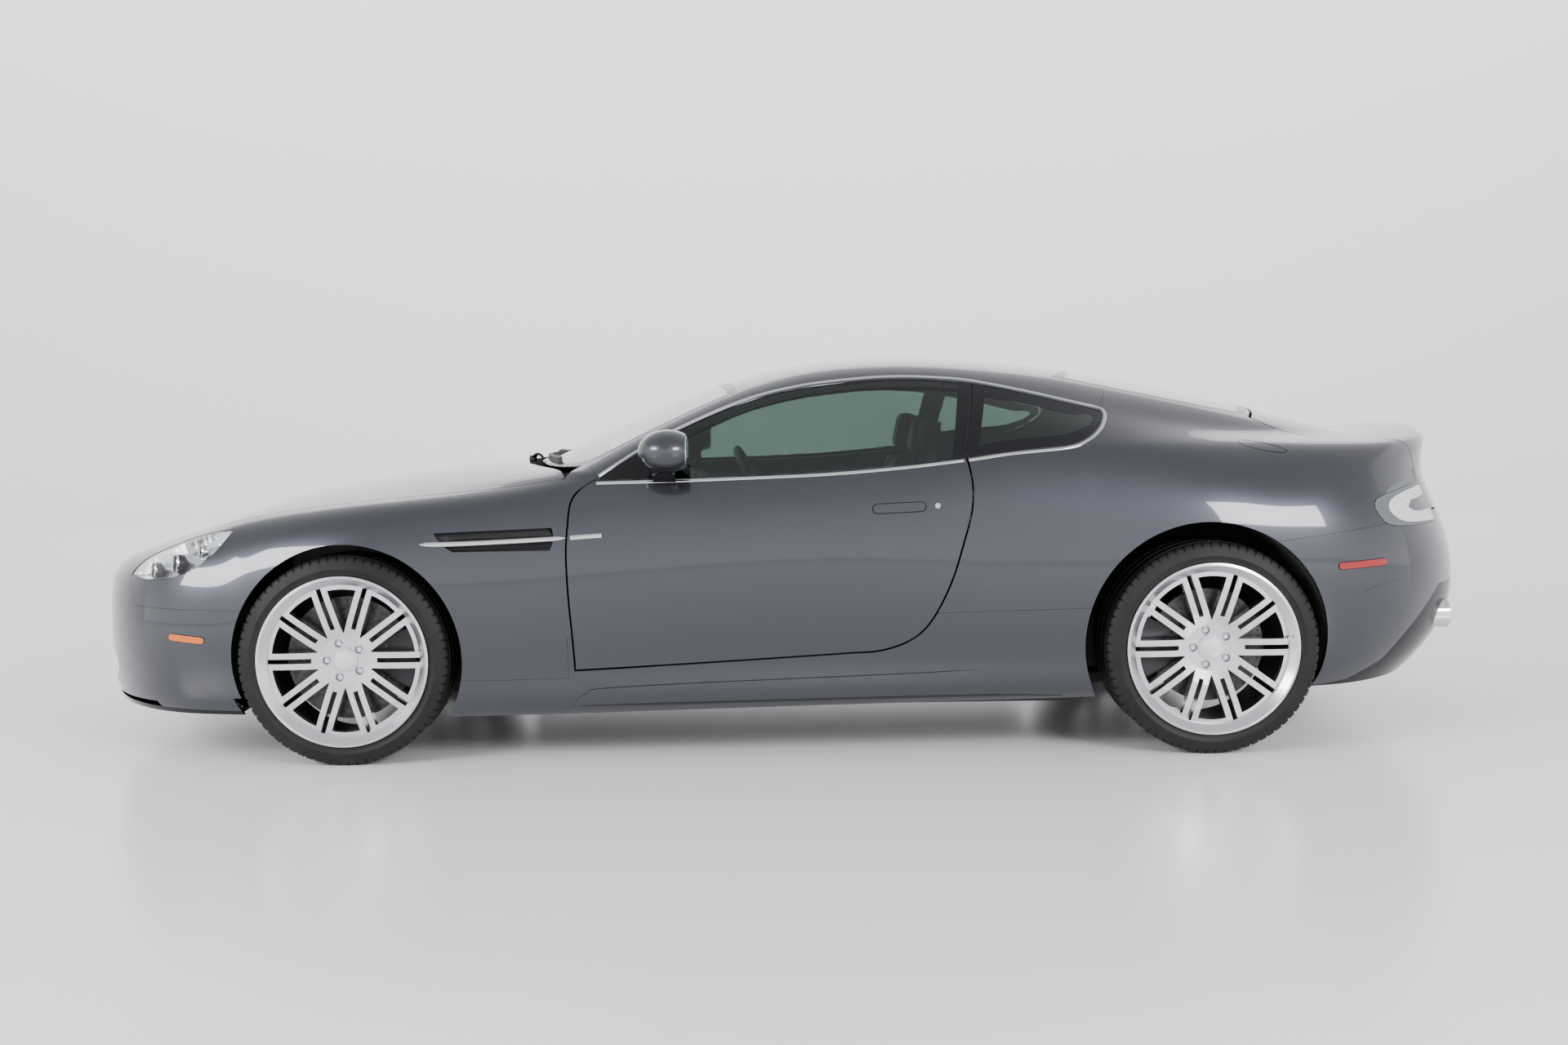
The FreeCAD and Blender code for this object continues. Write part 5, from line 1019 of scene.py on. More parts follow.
def band(name, outer, inner, look, inset=BORDER_DEPTH, view="side", thickness=0.0006, closed=False):
    """A thin sheet between two outlines with the same number of points."""
    flat = [p for i in range(len(outer) - 1) for p in (outer[i], outer[i + 1], inner[i + 1], inner[i])]
    top, normal = on_skin(flat, view, inset)
    low = top - normal * thickness
    points, faces = [], []
    for k in range(0, len(flat), 4):
        a = len(points)
        points += list(top[k:k + 4]) + list(low[k:k + 4])
        faces += [(a, a + 1, a + 2, a + 3), (a + 7, a + 6, a + 5, a + 4), (a, a + 4, a + 5, a + 1),
                  (a + 2, a + 6, a + 7, a + 3)]
    if not closed:
        last = len(points) - 8
        faces += [(0, 3, 7, 4), (last + 1, last + 5, last + 6, last + 2)]
    return mesh_piece(name, points, faces, look)


def left_of(path):
    """Directions square to a flat path, towards its left-hand side."""
    return np.stack([-path[:, 1], path[:, 0]], -1)


def line(start, end):
    return np.linspace(start, end, 24)


door_top = curve_through([(-0.570, 0.898), (-0.456, 0.9705), (-0.323, 1.0425), (-0.116, 1.1275), (0.070, 1.1715),
                          (0.256, 1.1915), (0.386, 1.1965), (0.510, 1.1915), (0.626, 1.1795)], 0.015)
door_inner = door_top + left_of(directions_along(door_top)) * -0.032
both_sides(band("door_glass_border", door_top, door_inner, gloss_black), "door_%s", slot="glass")
both_sides(band("door_glass_post", line((0.6265, 1.1795), (0.578, 0.946)), line((0.584, 1.186), (0.541, 0.942)),
                gloss_black), "door_%s")
rear_edge = curve_through([(0.636, 1.1775), (0.813, 1.1405), (0.940, 1.1095), (1.036, 1.0865), (1.0445, 1.070),
                           (1.020, 1.0365), (0.974, 1.0035), (0.907, 0.9805), (0.728, 0.9645), (0.588, 0.9455)],
                          0.012)
spine = np.clip((rear_edge[:, 0] - 0.66) / 0.27, 0, 1)[:, None] * (0.27, -0.015) + (0.66, 1.06)
both_sides(band("quarter_glass_border", rear_edge, rear_edge + unit(spine - rear_edge) * 0.034, gloss_black),
           "body")
both_sides(band("post_seal", line((0.637, 1.1775), (0.589, 0.9455)), line((0.6235, 1.1795), (0.5755, 0.946)),
                seal_rubber, SEAL_DEPTH), "body")
both_sides(band("quarter_glass_post", line((0.634, 1.1775), (0.586, 0.9455)),
                line((0.672, 1.170), (0.622, 0.950)), gloss_black), "body")


# %% Borders and heater wires of the two screens
def screen_border(name, front, side, rear, width):
    """A border inside a closed top-view outline, given by its right half: the front edge out from the middle, the
    side edge, and the rear edge back to the middle."""
    right = np.vstack([curve_through(front, 0.03)[:-1], curve_through(side, 0.03)[:-1], curve_through(rear, 0.03)])
    path = np.vstack([right, (right[::-1] * (1, -1))[1:-1]])
    run = unit(np.roll(path, -1, axis=0) - np.roll(path, 1, axis=0))
    inwards = left_of(run)
    inwards *= np.sign(((path.mean(0) - path) * inwards).sum(1, keepdims=True))
    inner = path + inwards * width
    return put(band(name, np.vstack([path, path[:1]]), np.vstack([inner, inner[:1]]), gloss_black, view="top",
                    closed=True), "body", slot="glass")


screen_border("windscreen_border",
              [(-0.847, 0.0), (-0.835, 0.2), (-0.789, 0.43), (-0.721, 0.609), (-0.642, 0.7265)],
              [(-0.642, 0.7265), (-0.608, 0.7315), (-0.5, 0.7205), (-0.365, 0.6785), (-0.24, 0.6305),
               (-0.142, 0.591)],
              [(-0.142, 0.591), (-0.154, 0.48), (-0.177, 0.3), (-0.196, 0.13), (-0.2, 0.0)], 0.028)
screen_border("rear_screen_border",
              [(0.993, 0.0), (0.986, 0.15), (0.959, 0.33), (0.917, 0.469)],
              [(0.917, 0.469), (1.1, 0.4765), (1.352, 0.4545), (1.5, 0.4345), (1.578, 0.413)],
              [(1.578, 0.413), (1.613, 0.3), (1.636, 0.15), (1.642, 0.0)], 0.03)
WIRES, WIRE_STEP, WIRE_WIDTH = 11, 0.049, 0.0009
wires = []
for number in range(WIRES):
    x = 1.06 + WIRE_STEP * number
    flat = np.array([(x + 0.01 * math.cos(a), 0.40 * a / 1.5) for a in np.linspace(-1.5, 1.5, 25)])
    wires.append(band("wire", flat, flat + (WIRE_WIDTH, 0), iron, 0.0068, view="top", thickness=0.0003))
put(joined(wires, "rear_screen_heater"), "body")

# %% [markdown]
# ## Small parts on the sides
# The door handle lies flush in the door: from outside it shows as a rounded plate in a dark gap, with a lock
# beside it. A side lamp sits in each bumper, amber in front and red behind. The fuel flap is only a fine dark
# line. A black line along the skirt crease is painted shade that stands in for the step of the lower skirt
# panel, which is not modelled, and a dark line low on the skirt is painted shadow where the skirt turns under.
# Each is a sheet or a strip on the skin, three millimetres proud at most.

# %% Handles, side lamps, flap line, and painted shade lines along the sill
SIDE_LAMPS = [("side_lamp_front", (-1.943, 0.413, -1.842, 0.404), amber_lens),
              ("side_lamp_rear", (1.7525, 0.590, 1.9035, 0.5958), red_lens)]
# The black line along the skirt crease is painted shade: it stands in for the step of the lower skirt panel.
CREASE_SHADE = [(-0.667, 0.176), (-0.655, 0.200), (-0.625, 0.224), (-0.577, 0.238), (-0.3, 0.250), (0.0, 0.259),
          (0.359, 0.270), (0.62, 0.281)]
# A dark strip low on the skirt is painted shadow where the skirt turns under.
SHADE = [(-0.640, 0.181), (-0.3, 0.185), (0.1, 0.190), (0.55, 0.195), (0.75, 0.194), (0.88, 0.189)]
BUMPER_FOLD = [(1.80, 0.490), (1.874, 0.518), (1.926, 0.528), (1.985, 0.536), (2.031, 0.536), (2.080, 0.525),
               (2.125, 0.507), (2.164, 0.489)]


def rounded_bar(x0, z0, x1, z1, radius, steps=8):
    """Outline of a bar with round ends between two points."""
    turn = math.atan2(z1 - z0, x1 - x0)
    points = []
    for (x, z), start in (((x1, z1), turn - math.pi / 2), ((x0, z0), turn + math.pi / 2)):
        angles = [start + math.pi * k / steps for k in range(steps + 1)]
        points += [(x + radius * math.cos(a), z + radius * math.sin(a)) for a in angles]
    return points


both_sides(patch("handle_gap", rounded_bar(0.300, 0.792, 0.438, 0.797, 0.0165), gloss_black, -0.0003, 0.0005,
                 0.03), "door_%s")
both_sides(patch("door_handle", rounded_bar(0.301, 0.792, 0.437, 0.797, 0.0138), paint, -0.0016, 0.0016, 0.012),
           "door_%s", slot="paint")
lock = circle(24, 0.0085, centre=(0.489, 0.799))
both_sides(patch("door_lock_ring", lock, satin, -0.0012, 0.0014, 0.05), "door_%s")
for name, ends, look in SIDE_LAMPS:
    both_sides(patch(name + "_frame", rounded_bar(*ends, 0.0125), gloss_black, -0.0006, 0.0008, 0.02), "body")
    both_sides(patch(name, rounded_bar(*ends, 0.0103), look, -0.0032, 0.003, 0.012), "body")
flap = [(1.5425 + 0.0735 * math.cos(a), 0.9635 + 0.0125 * math.sin(a) - 0.21 * 0.0735 * math.cos(a))
        for a in np.linspace(0, 2 * math.pi, 49)]
for name, path, width, height, look, section, taper in (
        ("fuel_flap_line", flap, 0.0016, 0.0012, gloss_black, FLAT, 0.0),
        ("sill_crease", curve_through(CREASE_SHADE, 0.01), 0.0026, 0.0016, gloss_black, FLAT, 0.2),
        ("sill_shade_line", curve_through(SHADE, 0.02), 0.008, 0.0016, dark_metal, FLAT, 0.3),
        ("bumper_fold", curve_through(BUMPER_FOLD, 0.02), 0.005, 0.0016, paint, ROUNDED, 0.2)):
    right, left = both_sides(strip(name, path, width, height, look, section, taper=taper), "body")
    print(right.name, "length", round(right.dimensions.x, 3))

# %% [markdown]
# ## Lamps
# A headlamp is a clear cover over a silvered bowl with round projectors in it. The cover and the bowl come
# from the CAD lamp's outer faces, so they fill its opening exactly: the cover stays on the skin, and the bowl
# is the same sheet pushed in, deeper the further a point is from the edge. The tail lamp is drawn as sheets
# on the skin: a grey bezel, a C of frosted clear plastic that is open to the rear, and a painted tongue
# inside the C.


# %% Sheets taken from a lamp's outer faces
def outer_sheet(node, deepest=0.004, spacing=0.014):
    """Points, faces, outward directions and rim of the node's right-hand faces near the skin, finely cut."""
    work = bmesh.new()
    work.from_mesh(nodes[node].data)
    bmesh.ops.remove_doubles(work, verts=work.verts, dist=CAD_WELD)
    work.faces.ensure_lookup_table()
    middles = np.array([f.calc_center_median() for f in work.faces])
    _, normal, height, _ = skin.nearest(middles)
    agrees = (np.array([f.normal for f in work.faces]) * normal).sum(1)
    keep = (height > -deepest) & (middles[:, 1] > 0) & (agrees > 0.6)
    bmesh.ops.delete(work, geom=[f for f, k in zip(work.faces, keep) if not k], context="FACES")
    for axis in range(3):
        values = [v.co[axis] for v in work.verts]
        sliced(work, axis, np.arange(math.floor(min(values) / spacing) * spacing, max(values), spacing))
    work.verts.index_update()
    points = np.array([v.co for v in work.verts])
    faces = [tuple(v.index for v in f.verts) for f in work.faces]
    rim = [v.index for v in work.verts if v.is_boundary]
    work.free()
    return points, faces, skin.nearest(points)[1], rim


def distance_to_rim(points, rim):
    finder = KDTree(len(rim))
    for number in rim:
        finder.insert(points[number], number)
    finder.balance()
    return np.array([finder.find(p)[2] for p in points])


def aimed(piece, centre, direction):
    """Turn a piece that was made along +Y so that it points along a direction, and place it."""
    turn = Vector((0, 1, 0)).rotation_difference(Vector(direction).normalized()).to_matrix().to_4x4()
    piece.data.transform(Matrix.Translation(centre) @ turn)
    return piece


# %% Headlamps
# x, z, radius, depth under the skin, finish of the cup; the outlines below are in shares of the radius
PROJECTORS = [(-2.035, 0.628, 0.026, 0.040, dark_metal), (-1.945, 0.655, 0.029, 0.042, dark_metal),
              (-1.858, 0.690, 0.022, 0.034, chrome)]
PROJECTOR_SIDES = 40
AHEAD = (-0.82, 0.52, 0.12)
points, faces, normal, rim = outer_sheet("headlamps")
depth = 0.036 * np.clip(distance_to_rim(points, rim) / 0.03, 0, 1) ** 0.8 + 0.002
cover = closed_sheet("headlamp_cover", points, faces, normal, 0.0, 0.0022, lens)
bowl = closed_sheet("headlamp_bowl", points, faces, normal, depth + 0.003, 0.001, silvered)
print("lamp sheet:", len(points), "points, deepest", round(float(depth.max()), 4))
CUP = [(0.2, -0.9), (1, -0.3), (1.04, 0.55), (0.96, 0.62), (0.86, 0.5), (0.84, 0.1)]
BALL = [(0, 0.72), (0.3, 0.67), (0.55, 0.5), (0.74, 0.26), (0.85, 0.02), (0, -0.05)]
EDGE = [(0.86, 0.60), (0.98, 0.66), (1.06, 0.58), (1.06, 0.40)]
units = []
for x, z, radius, deep, look in PROJECTORS:
    parts = [turned(name, [(radius * a, radius * b) for a, b in outline], wearing, PROJECTOR_SIDES)
             for name, outline, wearing in (("projector_cup", CUP, look), ("projector_lens", BALL, lens),
                                            ("projector_ring", EDGE, chrome))]
    place, _ = on_skin([(x, z)], inset=deep * 0.62)
    units.append(aimed(joined(parts, "projector"), Vector(place[0]), AHEAD))
both_sides(cover, "body", slot="lamp")
right_bowl, _ = both_sides(bowl, "body")
both_sides(joined(units, "headlamp_projectors"), "body")
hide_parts("headlamps")

# %% Tail lamps
BEZEL = [(2.108, 0.834), (2.061, 0.828), (1.992, 0.816), (1.932, 0.804), (1.895, 0.793), (1.883, 0.779),
         (1.883, 0.763), (1.895, 0.743), (1.913, 0.722), (1.932, 0.712), (1.967, 0.705), (2.023, 0.702),
         (2.086, 0.701), (2.150, 0.699), (2.168, 0.6985), (2.161, 0.712), (2.149, 0.736), (2.140, 0.752),
         (2.130, 0.775), (2.121, 0.798), (2.112, 0.822)]
BEZEL_CLOSED_EDGE = 15
C_OUTER = [(2.112, 0.822), (2.083, 0.819), (2.014, 0.807), (1.966, 0.794), (1.944, 0.780), (1.938, 0.763),
           (1.946, 0.746), (1.970, 0.727), (2.005, 0.715), (2.055, 0.710), (2.101, 0.7085), (2.161, 0.7075)]
C_INNER = [(2.146, 0.7425), (2.115, 0.7435), (2.076, 0.7425), (2.039, 0.749), (2.024, 0.760), (2.021, 0.770),
           (2.031, 0.777), (2.067, 0.782), (2.111, 0.789), (2.1225, 0.7925)]
TONGUE_TIP = (2.136, 0.768)
RIB = [(2.106, 0.8025), (2.060, 0.796), (2.02, 0.7905), (1.985, 0.779), (1.978, 0.764), (1.993, 0.744),
       (2.02, 0.731), (2.06, 0.7255), (2.11, 0.7255), (2.15, 0.7255)]
GRID = 0.004
outer_curve = [tuple(p) for p in curve_through(C_OUTER, 0.006)]
inner_curve = [tuple(p) for p in curve_through(C_INNER, 0.006)]
bezel = patch("tail_lamp_bezel", BEZEL, grey_bezel, -0.0005, 0.0012, GRID)
guide = patch("tail_lamp_guide", outer_curve + inner_curve, frost, -0.0024, 0.0017, GRID)
tongue = patch("tail_lamp_tongue", inner_curve + [TONGUE_TIP], paint, -0.0013, 0.0010, GRID)
both_sides(bezel, "body", slot="lamp")
both_sides(guide, "body")
both_sides(tongue, "body")
for name, path, width, height, look, section in (
        ("tail_lamp_seam", BEZEL[:BEZEL_CLOSED_EDGE], 0.0026, 0.0009, gloss_black, FLAT),
        ("tail_lamp_inner_seam", C_INNER[1:-1], 0.002, 0.0042, gloss_black, FLAT),
        ("tail_lamp_rib", RIB, 0.003, 0.0032, silvered, ROUNDED)):
    both_sides(strip(name, curve_through(path, GRID), width, height, look, section), "body")

# %% [markdown]
# ## Mirrors, wipers and grille
# The door mirror is a painted shell on a gloss black arm, with the glass in its rear face. The shell and the
# arm are one solid in CAD, so a copy gets its finish face by face. The wipers get their arms and pivot caps,
# and the grille its dark back behind bright blades.

# %% Mirrors
MIRROR = (-0.350, 0.934, 0.984)
MIRROR_HALF = (0.092, 0.096, 0.066)
MIRROR_GLASS_X = 0.058
MIRROR_RIM = 0.006
MIRROR_ARM_TOP = 0.934
for side in ("right", "left"):
    piece = joined_copy("mirror_shell_" + side, "mirror_" + side)
    round_below(piece.data, 30)
    wear(piece, paint, gloss_black, grained_black)
    for face in piece.data.polygons:
        c = face.center
        level = sum(((at - middle) / half) ** 2
                    for at, middle, half in zip((c.x, abs(c.y), c.z), MIRROR, MIRROR_HALF))
        if face.normal.x > 0.95 and c.x > MIRROR[0] + MIRROR_GLASS_X - 0.001:
            face.material_index = 2
        elif level > 1.02 or c.z < MIRROR_ARM_TOP:
            face.material_index = 1
    put(piece, "door_" + side, "mirror_" + side, slot="paint")
cut = math.sqrt(1 - (MIRROR_GLASS_X / MIRROR_HALF[0]) ** 2)
half_wide, half_high = (half * cut - MIRROR_RIM for half in MIRROR_HALF[1:])
mirror_look = finish("mirror_silver", (0.86, 0.87, 0.88), 1.0, 0.02)
tint(mirror_look, pattern(mirror_look, Scale=3.0), "Fac", 0.01, 0.03, "Roughness")
oval = [[(x, MIRROR[1] + half_wide * a, MIRROR[2] + half_high * b) for a, b in circle(48)]
        for x in (-0.2915, -0.2893)]
both_sides(lofted("mirror_glass", oval, mirror_look), "door_%s")
print("mirror glass", round(2 * half_wide, 3), "by", round(2 * half_high, 3))

# %% The black corner piece that the mirror arm stands on, and the wipers
CORNER = [(-0.571, 0.8985), (-0.456, 0.9695), (-0.395, 1.0035), (-0.405, 0.955), (-0.40, 0.899), (-0.44, 0.8965)]
WIPERS = [((-0.868, 0.46), (-0.797, 0.27)), ((-0.880, -0.14), (-0.830, -0.20))]
ARM_HALF_WIDTHS = [0.010, 0.009, 0.0065, 0.005]
both_sides(patch("mirror_corner", CORNER, gloss_black, inset=0.0006, thickness=0.0009, grid=0.03), "door_%s")


def bar_through(name, path, widths, look, sides=10, flat=0.6):
    """A tapered bar along a path in space, flatter than it is wide."""
    widths = np.interp(np.linspace(0, 1, len(path)), np.linspace(0, 1, len(widths)), widths)
    run = directions_along(path)
    across = unit(np.cross(run, (0, 0, 1)))
    up = np.cross(across, run)
    rows = [[place + a * w * x + u * w * flat * y for x, y in circle(sides)]
            for place, a, u, w in zip(path, across, up, widths)]
    return lofted(name, rows, look)


wiper_pieces = []
for foot, middle in WIPERS:
    run = np.linspace(0, 1, 12)[:, None]
    places, direction = on_skin(np.array(foot) * (1 - run) + np.array(middle) * run, "top")
    lift = 0.007 + 0.016 * np.sin(np.pi * np.clip(run * 1.1, 0, 1))
    arm = bar_through("arm", places + direction * lift, ARM_HALF_WIDTHS, gloss_black)
    cap = turned("cap", [(0.0, 0.020), (0.009, 0.0185), (0.0135, 0.013), (0.0145, 0.004), (0.0145, -0.004)],
                 gloss_black, sides=24)
    wiper_pieces += [arm, aimed(cap, Vector(places[0]), direction[0])]
put(joined(wiper_pieces, "wiper_arms"), "body")

# %% Grille and tailpipes
GRILLE_BACK = 0.0255
LOWER_INTAKE_TOP = 0.36
grille = joined_copy("grille_bars", "grille")
wear(grille, satin, gloss_black)
centres = np.array([f.center for f in grille.data.polygons])
height = skin.nearest(centres)[2]
dark = (height < -GRILLE_BACK) | (centres[:, 2] < LOWER_INTAKE_TOP)
grille.data.polygons.foreach_set("material_index", dark.astype(np.int32))
put(grille, "body", "grille", slot="satin")
print("grille faces", len(centres), "dark", int(dark.sum()))
# A dark disc closes each tailpipe just inside its mouth. It shows the soot, and it is also painted shade of the
# pipe's depth.
soot_and_shade = turned("exhaust_inside", [(0.0, 0.0), (0.030, 0.001), (0.043, 0.004), (0.043, -0.006), (0.0, -0.006)],
              seal_rubber, sides=36)
both_sides(aimed(soot_and_shade, Vector((2.135, 0.560, 0.392)), (1, 0, 0)), "body")

# %% [markdown]
# ## Seats
# A car seat is foam under leather: the middle panels and the side bolsters are separate sewn pads that swell
# towards each other and pull in at the seams. Boxes with rounded edges look like wood, so each pad starts as
# a slightly smaller block, is remeshed evenly, and is blown up by a short cloth simulation, like a cushion
# pressed into its cover. Channels are sewn in afterwards by pushing the surface in along lines. One seat is
# simulated and mirrored for the other side.

# %% Blow a block up into a pad
VOXEL = 0.007
PRESSURE = 4.0
FRAMES = 20
CHANNEL_DEPTH = 0.004
CHANNEL_WIDTH = 0.006


def flat_normals(path):
    """Directions square to a side-view path, to the right of its run."""
    return -left_of(directions_along(path))


def block_along(name, front, inwards, thick, y0, y1):
    """A block whose front face follows a side-view curve and whose back lies a thickness behind it."""
    path = curve_through(front, 0.03)
    back = flat_normals(path)
    outer = path + back * inwards
    inner = path + back * (inwards + thick)
    loop = list(outer) + list(inner[::-1])
    count, half = len(loop), len(outer)
    points = [(x, y, z) for y in (y0, y1) for x, z in loop]
    faces = quads(2, count)
    for start in (0, count):
        for k in range(half - 1):
            quad = (start + k, start + k + 1, start + count - 2 - k, start + count - 1 - k)
            faces.append(quad if start == 0 else quad[::-1])
    return mesh_piece(name, points, faces, leather, smooth=False)


def pressed_points(piece):
    """The points of the piece after a short cloth simulation with air pressure inside."""
    cloth = piece.modifiers.new("cloth", "CLOTH")
    cloth.settings.use_pressure = True
    cloth.settings.uniform_pressure_force = PRESSURE
    cloth.settings.effector_weights.gravity = 0
    cloth.settings.tension_stiffness = 12
    cloth.settings.compression_stiffness = 12
    cloth.settings.bending_stiffness = 1.0
    cloth.point_cache.frame_start = 1
    cloth.point_cache.frame_end = FRAMES
    for number in range(1, FRAMES + 1):
        bpy.context.scene.frame_set(number)
    ready = piece.evaluated_get(bpy.context.evaluated_depsgraph_get())
    after = vectors(ready.data.vertices, "co")
    piece.modifiers.remove(cloth)
    bpy.context.scene.frame_set(1)
    return after


def write_points(mesh, points):
    mesh.vertices.foreach_set("co", points.reshape(-1).astype(np.float32))
    mesh.update()


def puffed(piece, most, channels=()):
    """Remesh, swell by cloth pressure with a cap, sew channels across a direction, and smooth."""
    bpy.ops.object.select_all(action="DESELECT")
    bpy.context.view_layer.objects.active = piece
    piece.select_set(True)
    remesh = piece.modifiers.new("remesh", "REMESH")
    remesh.mode = "VOXEL"
    remesh.voxel_size = VOXEL
    bpy.ops.object.modifier_apply(modifier="remesh")
    mesh = piece.data
    before = vectors(mesh.vertices, "co")
    move = pressed_points(piece) - before
    size = np.linalg.norm(move, axis=1, keepdims=True)
    move *= np.minimum(1.0, most / np.maximum(size, 1e-6))
    after = before + move
    write_points(mesh, after)
    normals = vectors(mesh.vertices, "normal")
    for point, direction in channels:
        away = np.abs((after - np.array(point, float)) @ np.array(direction, float))
        after = after - normals * (CHANNEL_DEPTH * np.exp(-(away / CHANNEL_WIDTH) ** 2))[:, None]
    write_points(mesh, after)
    smoother = piece.modifiers.new("smooth", "SUBSURF")
    smoother.levels = 1
    smoother.render_levels = 1
    bpy.ops.object.modifier_apply(modifier="smooth")
    mesh.shade_smooth()
    return piece


def finish_pad(piece, body="body"):
    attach(piece, body)
    return piece


def finish_pair(piece):
    """Attach the right-hand pad and its mirror image to the body."""
    base = piece.name
    other = flipped(piece, base + "_left")
    piece.name = base + "_right"
    finish_pad(piece)
    finish_pad(other)


# %% Pads of one front seat
SEAT_Y = 0.385
SEAT_TOP = [(-0.190, 0.430), (-0.165, 0.453), (-0.060, 0.452), (0.080, 0.425), (0.205, 0.421)]
BACK_FRONT = [(0.222, 0.440), (0.245, 0.470), (0.300, 0.560), (0.368, 0.760), (0.412, 0.905)]
HEAD_FRONT = [(0.428, 0.945), (0.440, 1.010), (0.452, 1.075)]
# name, front curve, start and thickness of the block behind it, its two sides in Y, most swelling, channels
PADS = [
    ("seat_middle", SEAT_TOP, 0.030, 0.055, -0.128, 0.128, 0.016,
     [((x, 0, 0), (1, 0, 0)) for x in (-0.09, 0.0, 0.09)]),
    ("seat_bolster", SEAT_TOP, 0.014, 0.085, 0.146, 0.232, 0.016, []),
    ("back_middle", BACK_FRONT, 0.032, 0.055, -0.128, 0.128, 0.016,
     [((0, 0, z), (0, 0, 1)) for z in (0.55, 0.64, 0.73, 0.82)]),
    ("back_bolster", BACK_FRONT, 0.014, 0.080, 0.146, 0.228, 0.016, []),
    ("headrest", HEAD_FRONT, 0.012, 0.062, -0.105, 0.105, 0.008, []),
]
seat_pads = []
for name, *sizes, most, channels in PADS:
    pad = puffed(block_along(name, *sizes), most, channels)
    copies = [pad]
    if "bolster" in name:
        copies.append(flipped(pad, name + "_inner"))
        pad.name = name + "_outer"
    seat_pads += [moved(item, (0, SEAT_Y, 0)) for item in copies]
    print(name, len(pad.data.polygons), "faces")

# %% The shell behind the pads
SHELL_LINE = [(-0.150, 0.330), (-0.05, 0.330), (0.15, 0.325), (0.300, 0.335), (0.360, 0.430), (0.428, 0.620),
              (0.490, 0.830), (0.515, 0.930), (0.530, 1.000), (0.532, 1.050)]
SHELL_HEIGHTS = [0.33, 0.40, 0.75, 0.90, 0.94, 1.05]
SHELL_HALF_WIDTHS = [0.225, 0.238, 0.234, 0.20, 0.115, 0.10]
SHELL_COLUMNS = 17
SHELL_WRAP = 0.036


def seat_shell():
    """A curved board, bent forward at its edges, that gets its thickness from a Solidify modifier."""
    path = curve_through(SHELL_LINE, 0.03)
    points = []
    for place, forward in zip(path, -flat_normals(path)):
        half = float(np.interp(place[1], SHELL_HEIGHTS, SHELL_HALF_WIDTHS))
        for share in np.linspace(-1, 1, SHELL_COLUMNS):
            x, z = place + forward * (SHELL_WRAP * abs(share) ** 5)
            points.append((x, SEAT_Y + half * share, z))
    piece = mesh_piece("seat_shell", points, quads(len(path), SHELL_COLUMNS, closed=False), leather)
    wall = piece.modifiers.new("wall", "SOLIDIFY")
    wall.thickness = 0.014
    wall.offset = 1
    bpy.context.view_layer.objects.active = piece
    bpy.ops.object.modifier_apply(modifier="wall")
    clean(piece.data)
    round_below(piece.data, 60)
    return piece


shell_right, _ = both_sides(seat_shell(), "body", slot="leather")
for item in seat_pads:
    finish_pair(item)
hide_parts("front_seats")

# %% Rear seats
REAR_TOP = [(0.645, 0.415), (0.668, 0.425), (0.760, 0.406), (0.842, 0.401)]
REAR_BACK = [(0.852, 0.420), (0.866, 0.520), (0.902, 0.700), (0.922, 0.790)]
for name, *sizes, seam in (("rear_cushion", REAR_TOP, 0.014, 0.080, 0.165, 0.445, 0.305),
                           ("rear_back", REAR_BACK, 0.012, 0.024, 0.165, 0.545, 0.355)):
    pad = puffed(block_along(name, *sizes), 0.012, [((0, seam, 0), (0, 1, 0))])
    finish_pair(pad)
    if name == "rear_cushion":
        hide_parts("rear_seats")

# %% [markdown]
# ## Cabin details
# Round air vents, two instruments behind one hood and a few satin rings are what the eye finds through the
# glass. Each is turned about its own axis from a short outline and then aimed at the seats.

# %% Air vents and instruments
VENT_RING = [(0.030, 0.0), (0.0375, 0.002), (0.0385, 0.007), (0.034, 0.009), (0.031, 0.006), (0.030, -0.004)]
VENT_INSIDE = [(0.0, 0.001), (0.010, 0.002), (0.011, 0.0), (0.020, -0.001), (0.021, 0.0015), (0.030, 0.0)]
DIAL_RING = [(0.046, 0.0), (0.050, 0.003), (0.0485, 0.007), (0.045, 0.006), (0.044, -0.002)]
DIAL_FACE = [(0.0, 0.0015), (0.006, 0.0018), (0.0065, 0.0006), (0.045, 0.0004)]
cabin = []
for places, direction, sides, rim_line, inside_line in (
        ([(-0.2545, y, 0.765) for y in (-0.655, -0.115, 0.115, 0.655)], (1, 0, -0.12), 36, VENT_RING, VENT_INSIDE),
        ([(-0.2995, y, 0.838) for y in (-0.455, -0.315)], (1, 0, 0.0), 48, DIAL_RING, DIAL_FACE)):
    for place in places:
        fitting = [turned("fitting_ring", rim_line, satin, sides),
                   turned("fitting_inside", inside_line, gloss_black, sides)]
        cabin.append(aimed(joined(fitting, "fitting"), Vector(place), direction))
print("cabin fittings:", len(cabin))
put(joined(cabin, "dashboard_fittings"), "body")

# %% [markdown]
# ## The remaining solids
# Everything that is not yet dressed keeps its CAD mesh and gets a finish: what is bolted under the car is
# black or bare cast metal, what is inside is leather or grained plastic, and the lower trim is gloss black.

# %% Finishes for the carried-over solids
KEPT = {
    "upright_front_left": cast, "upright_front_right": cast, "subframe_front": dark_metal,
    "subframe_rear": dark_metal, "engine": cast, "seat_rails": dark_metal, "floor": underseal,
    "bulkhead_front": underseal, "boot_tub": carpet, "wheel_liners": liner_felt, "tailpipes": chrome,
    "dashboard": leather, "centre_console": grained_black, "steering_wheel": leather,
    "front_splitter": gloss_black, "rear_diffuser": gloss_black, "wipers": grained_black,
    "caliper_front_left": dark_metal, "caliper_front_right": dark_metal, "calipers_rear": dark_metal,
    "tail_lamps": grey_bezel,
}
for name, look in KEPT.items():
    if not nodes[name].hide_render:
        wear(nodes[name], look)
left_out = [name for name, node in nodes.items()
            if not (node.hide_render or name in KEPT or "rim" in name or "disc" in name)]
print("solids without a finish:", left_out)

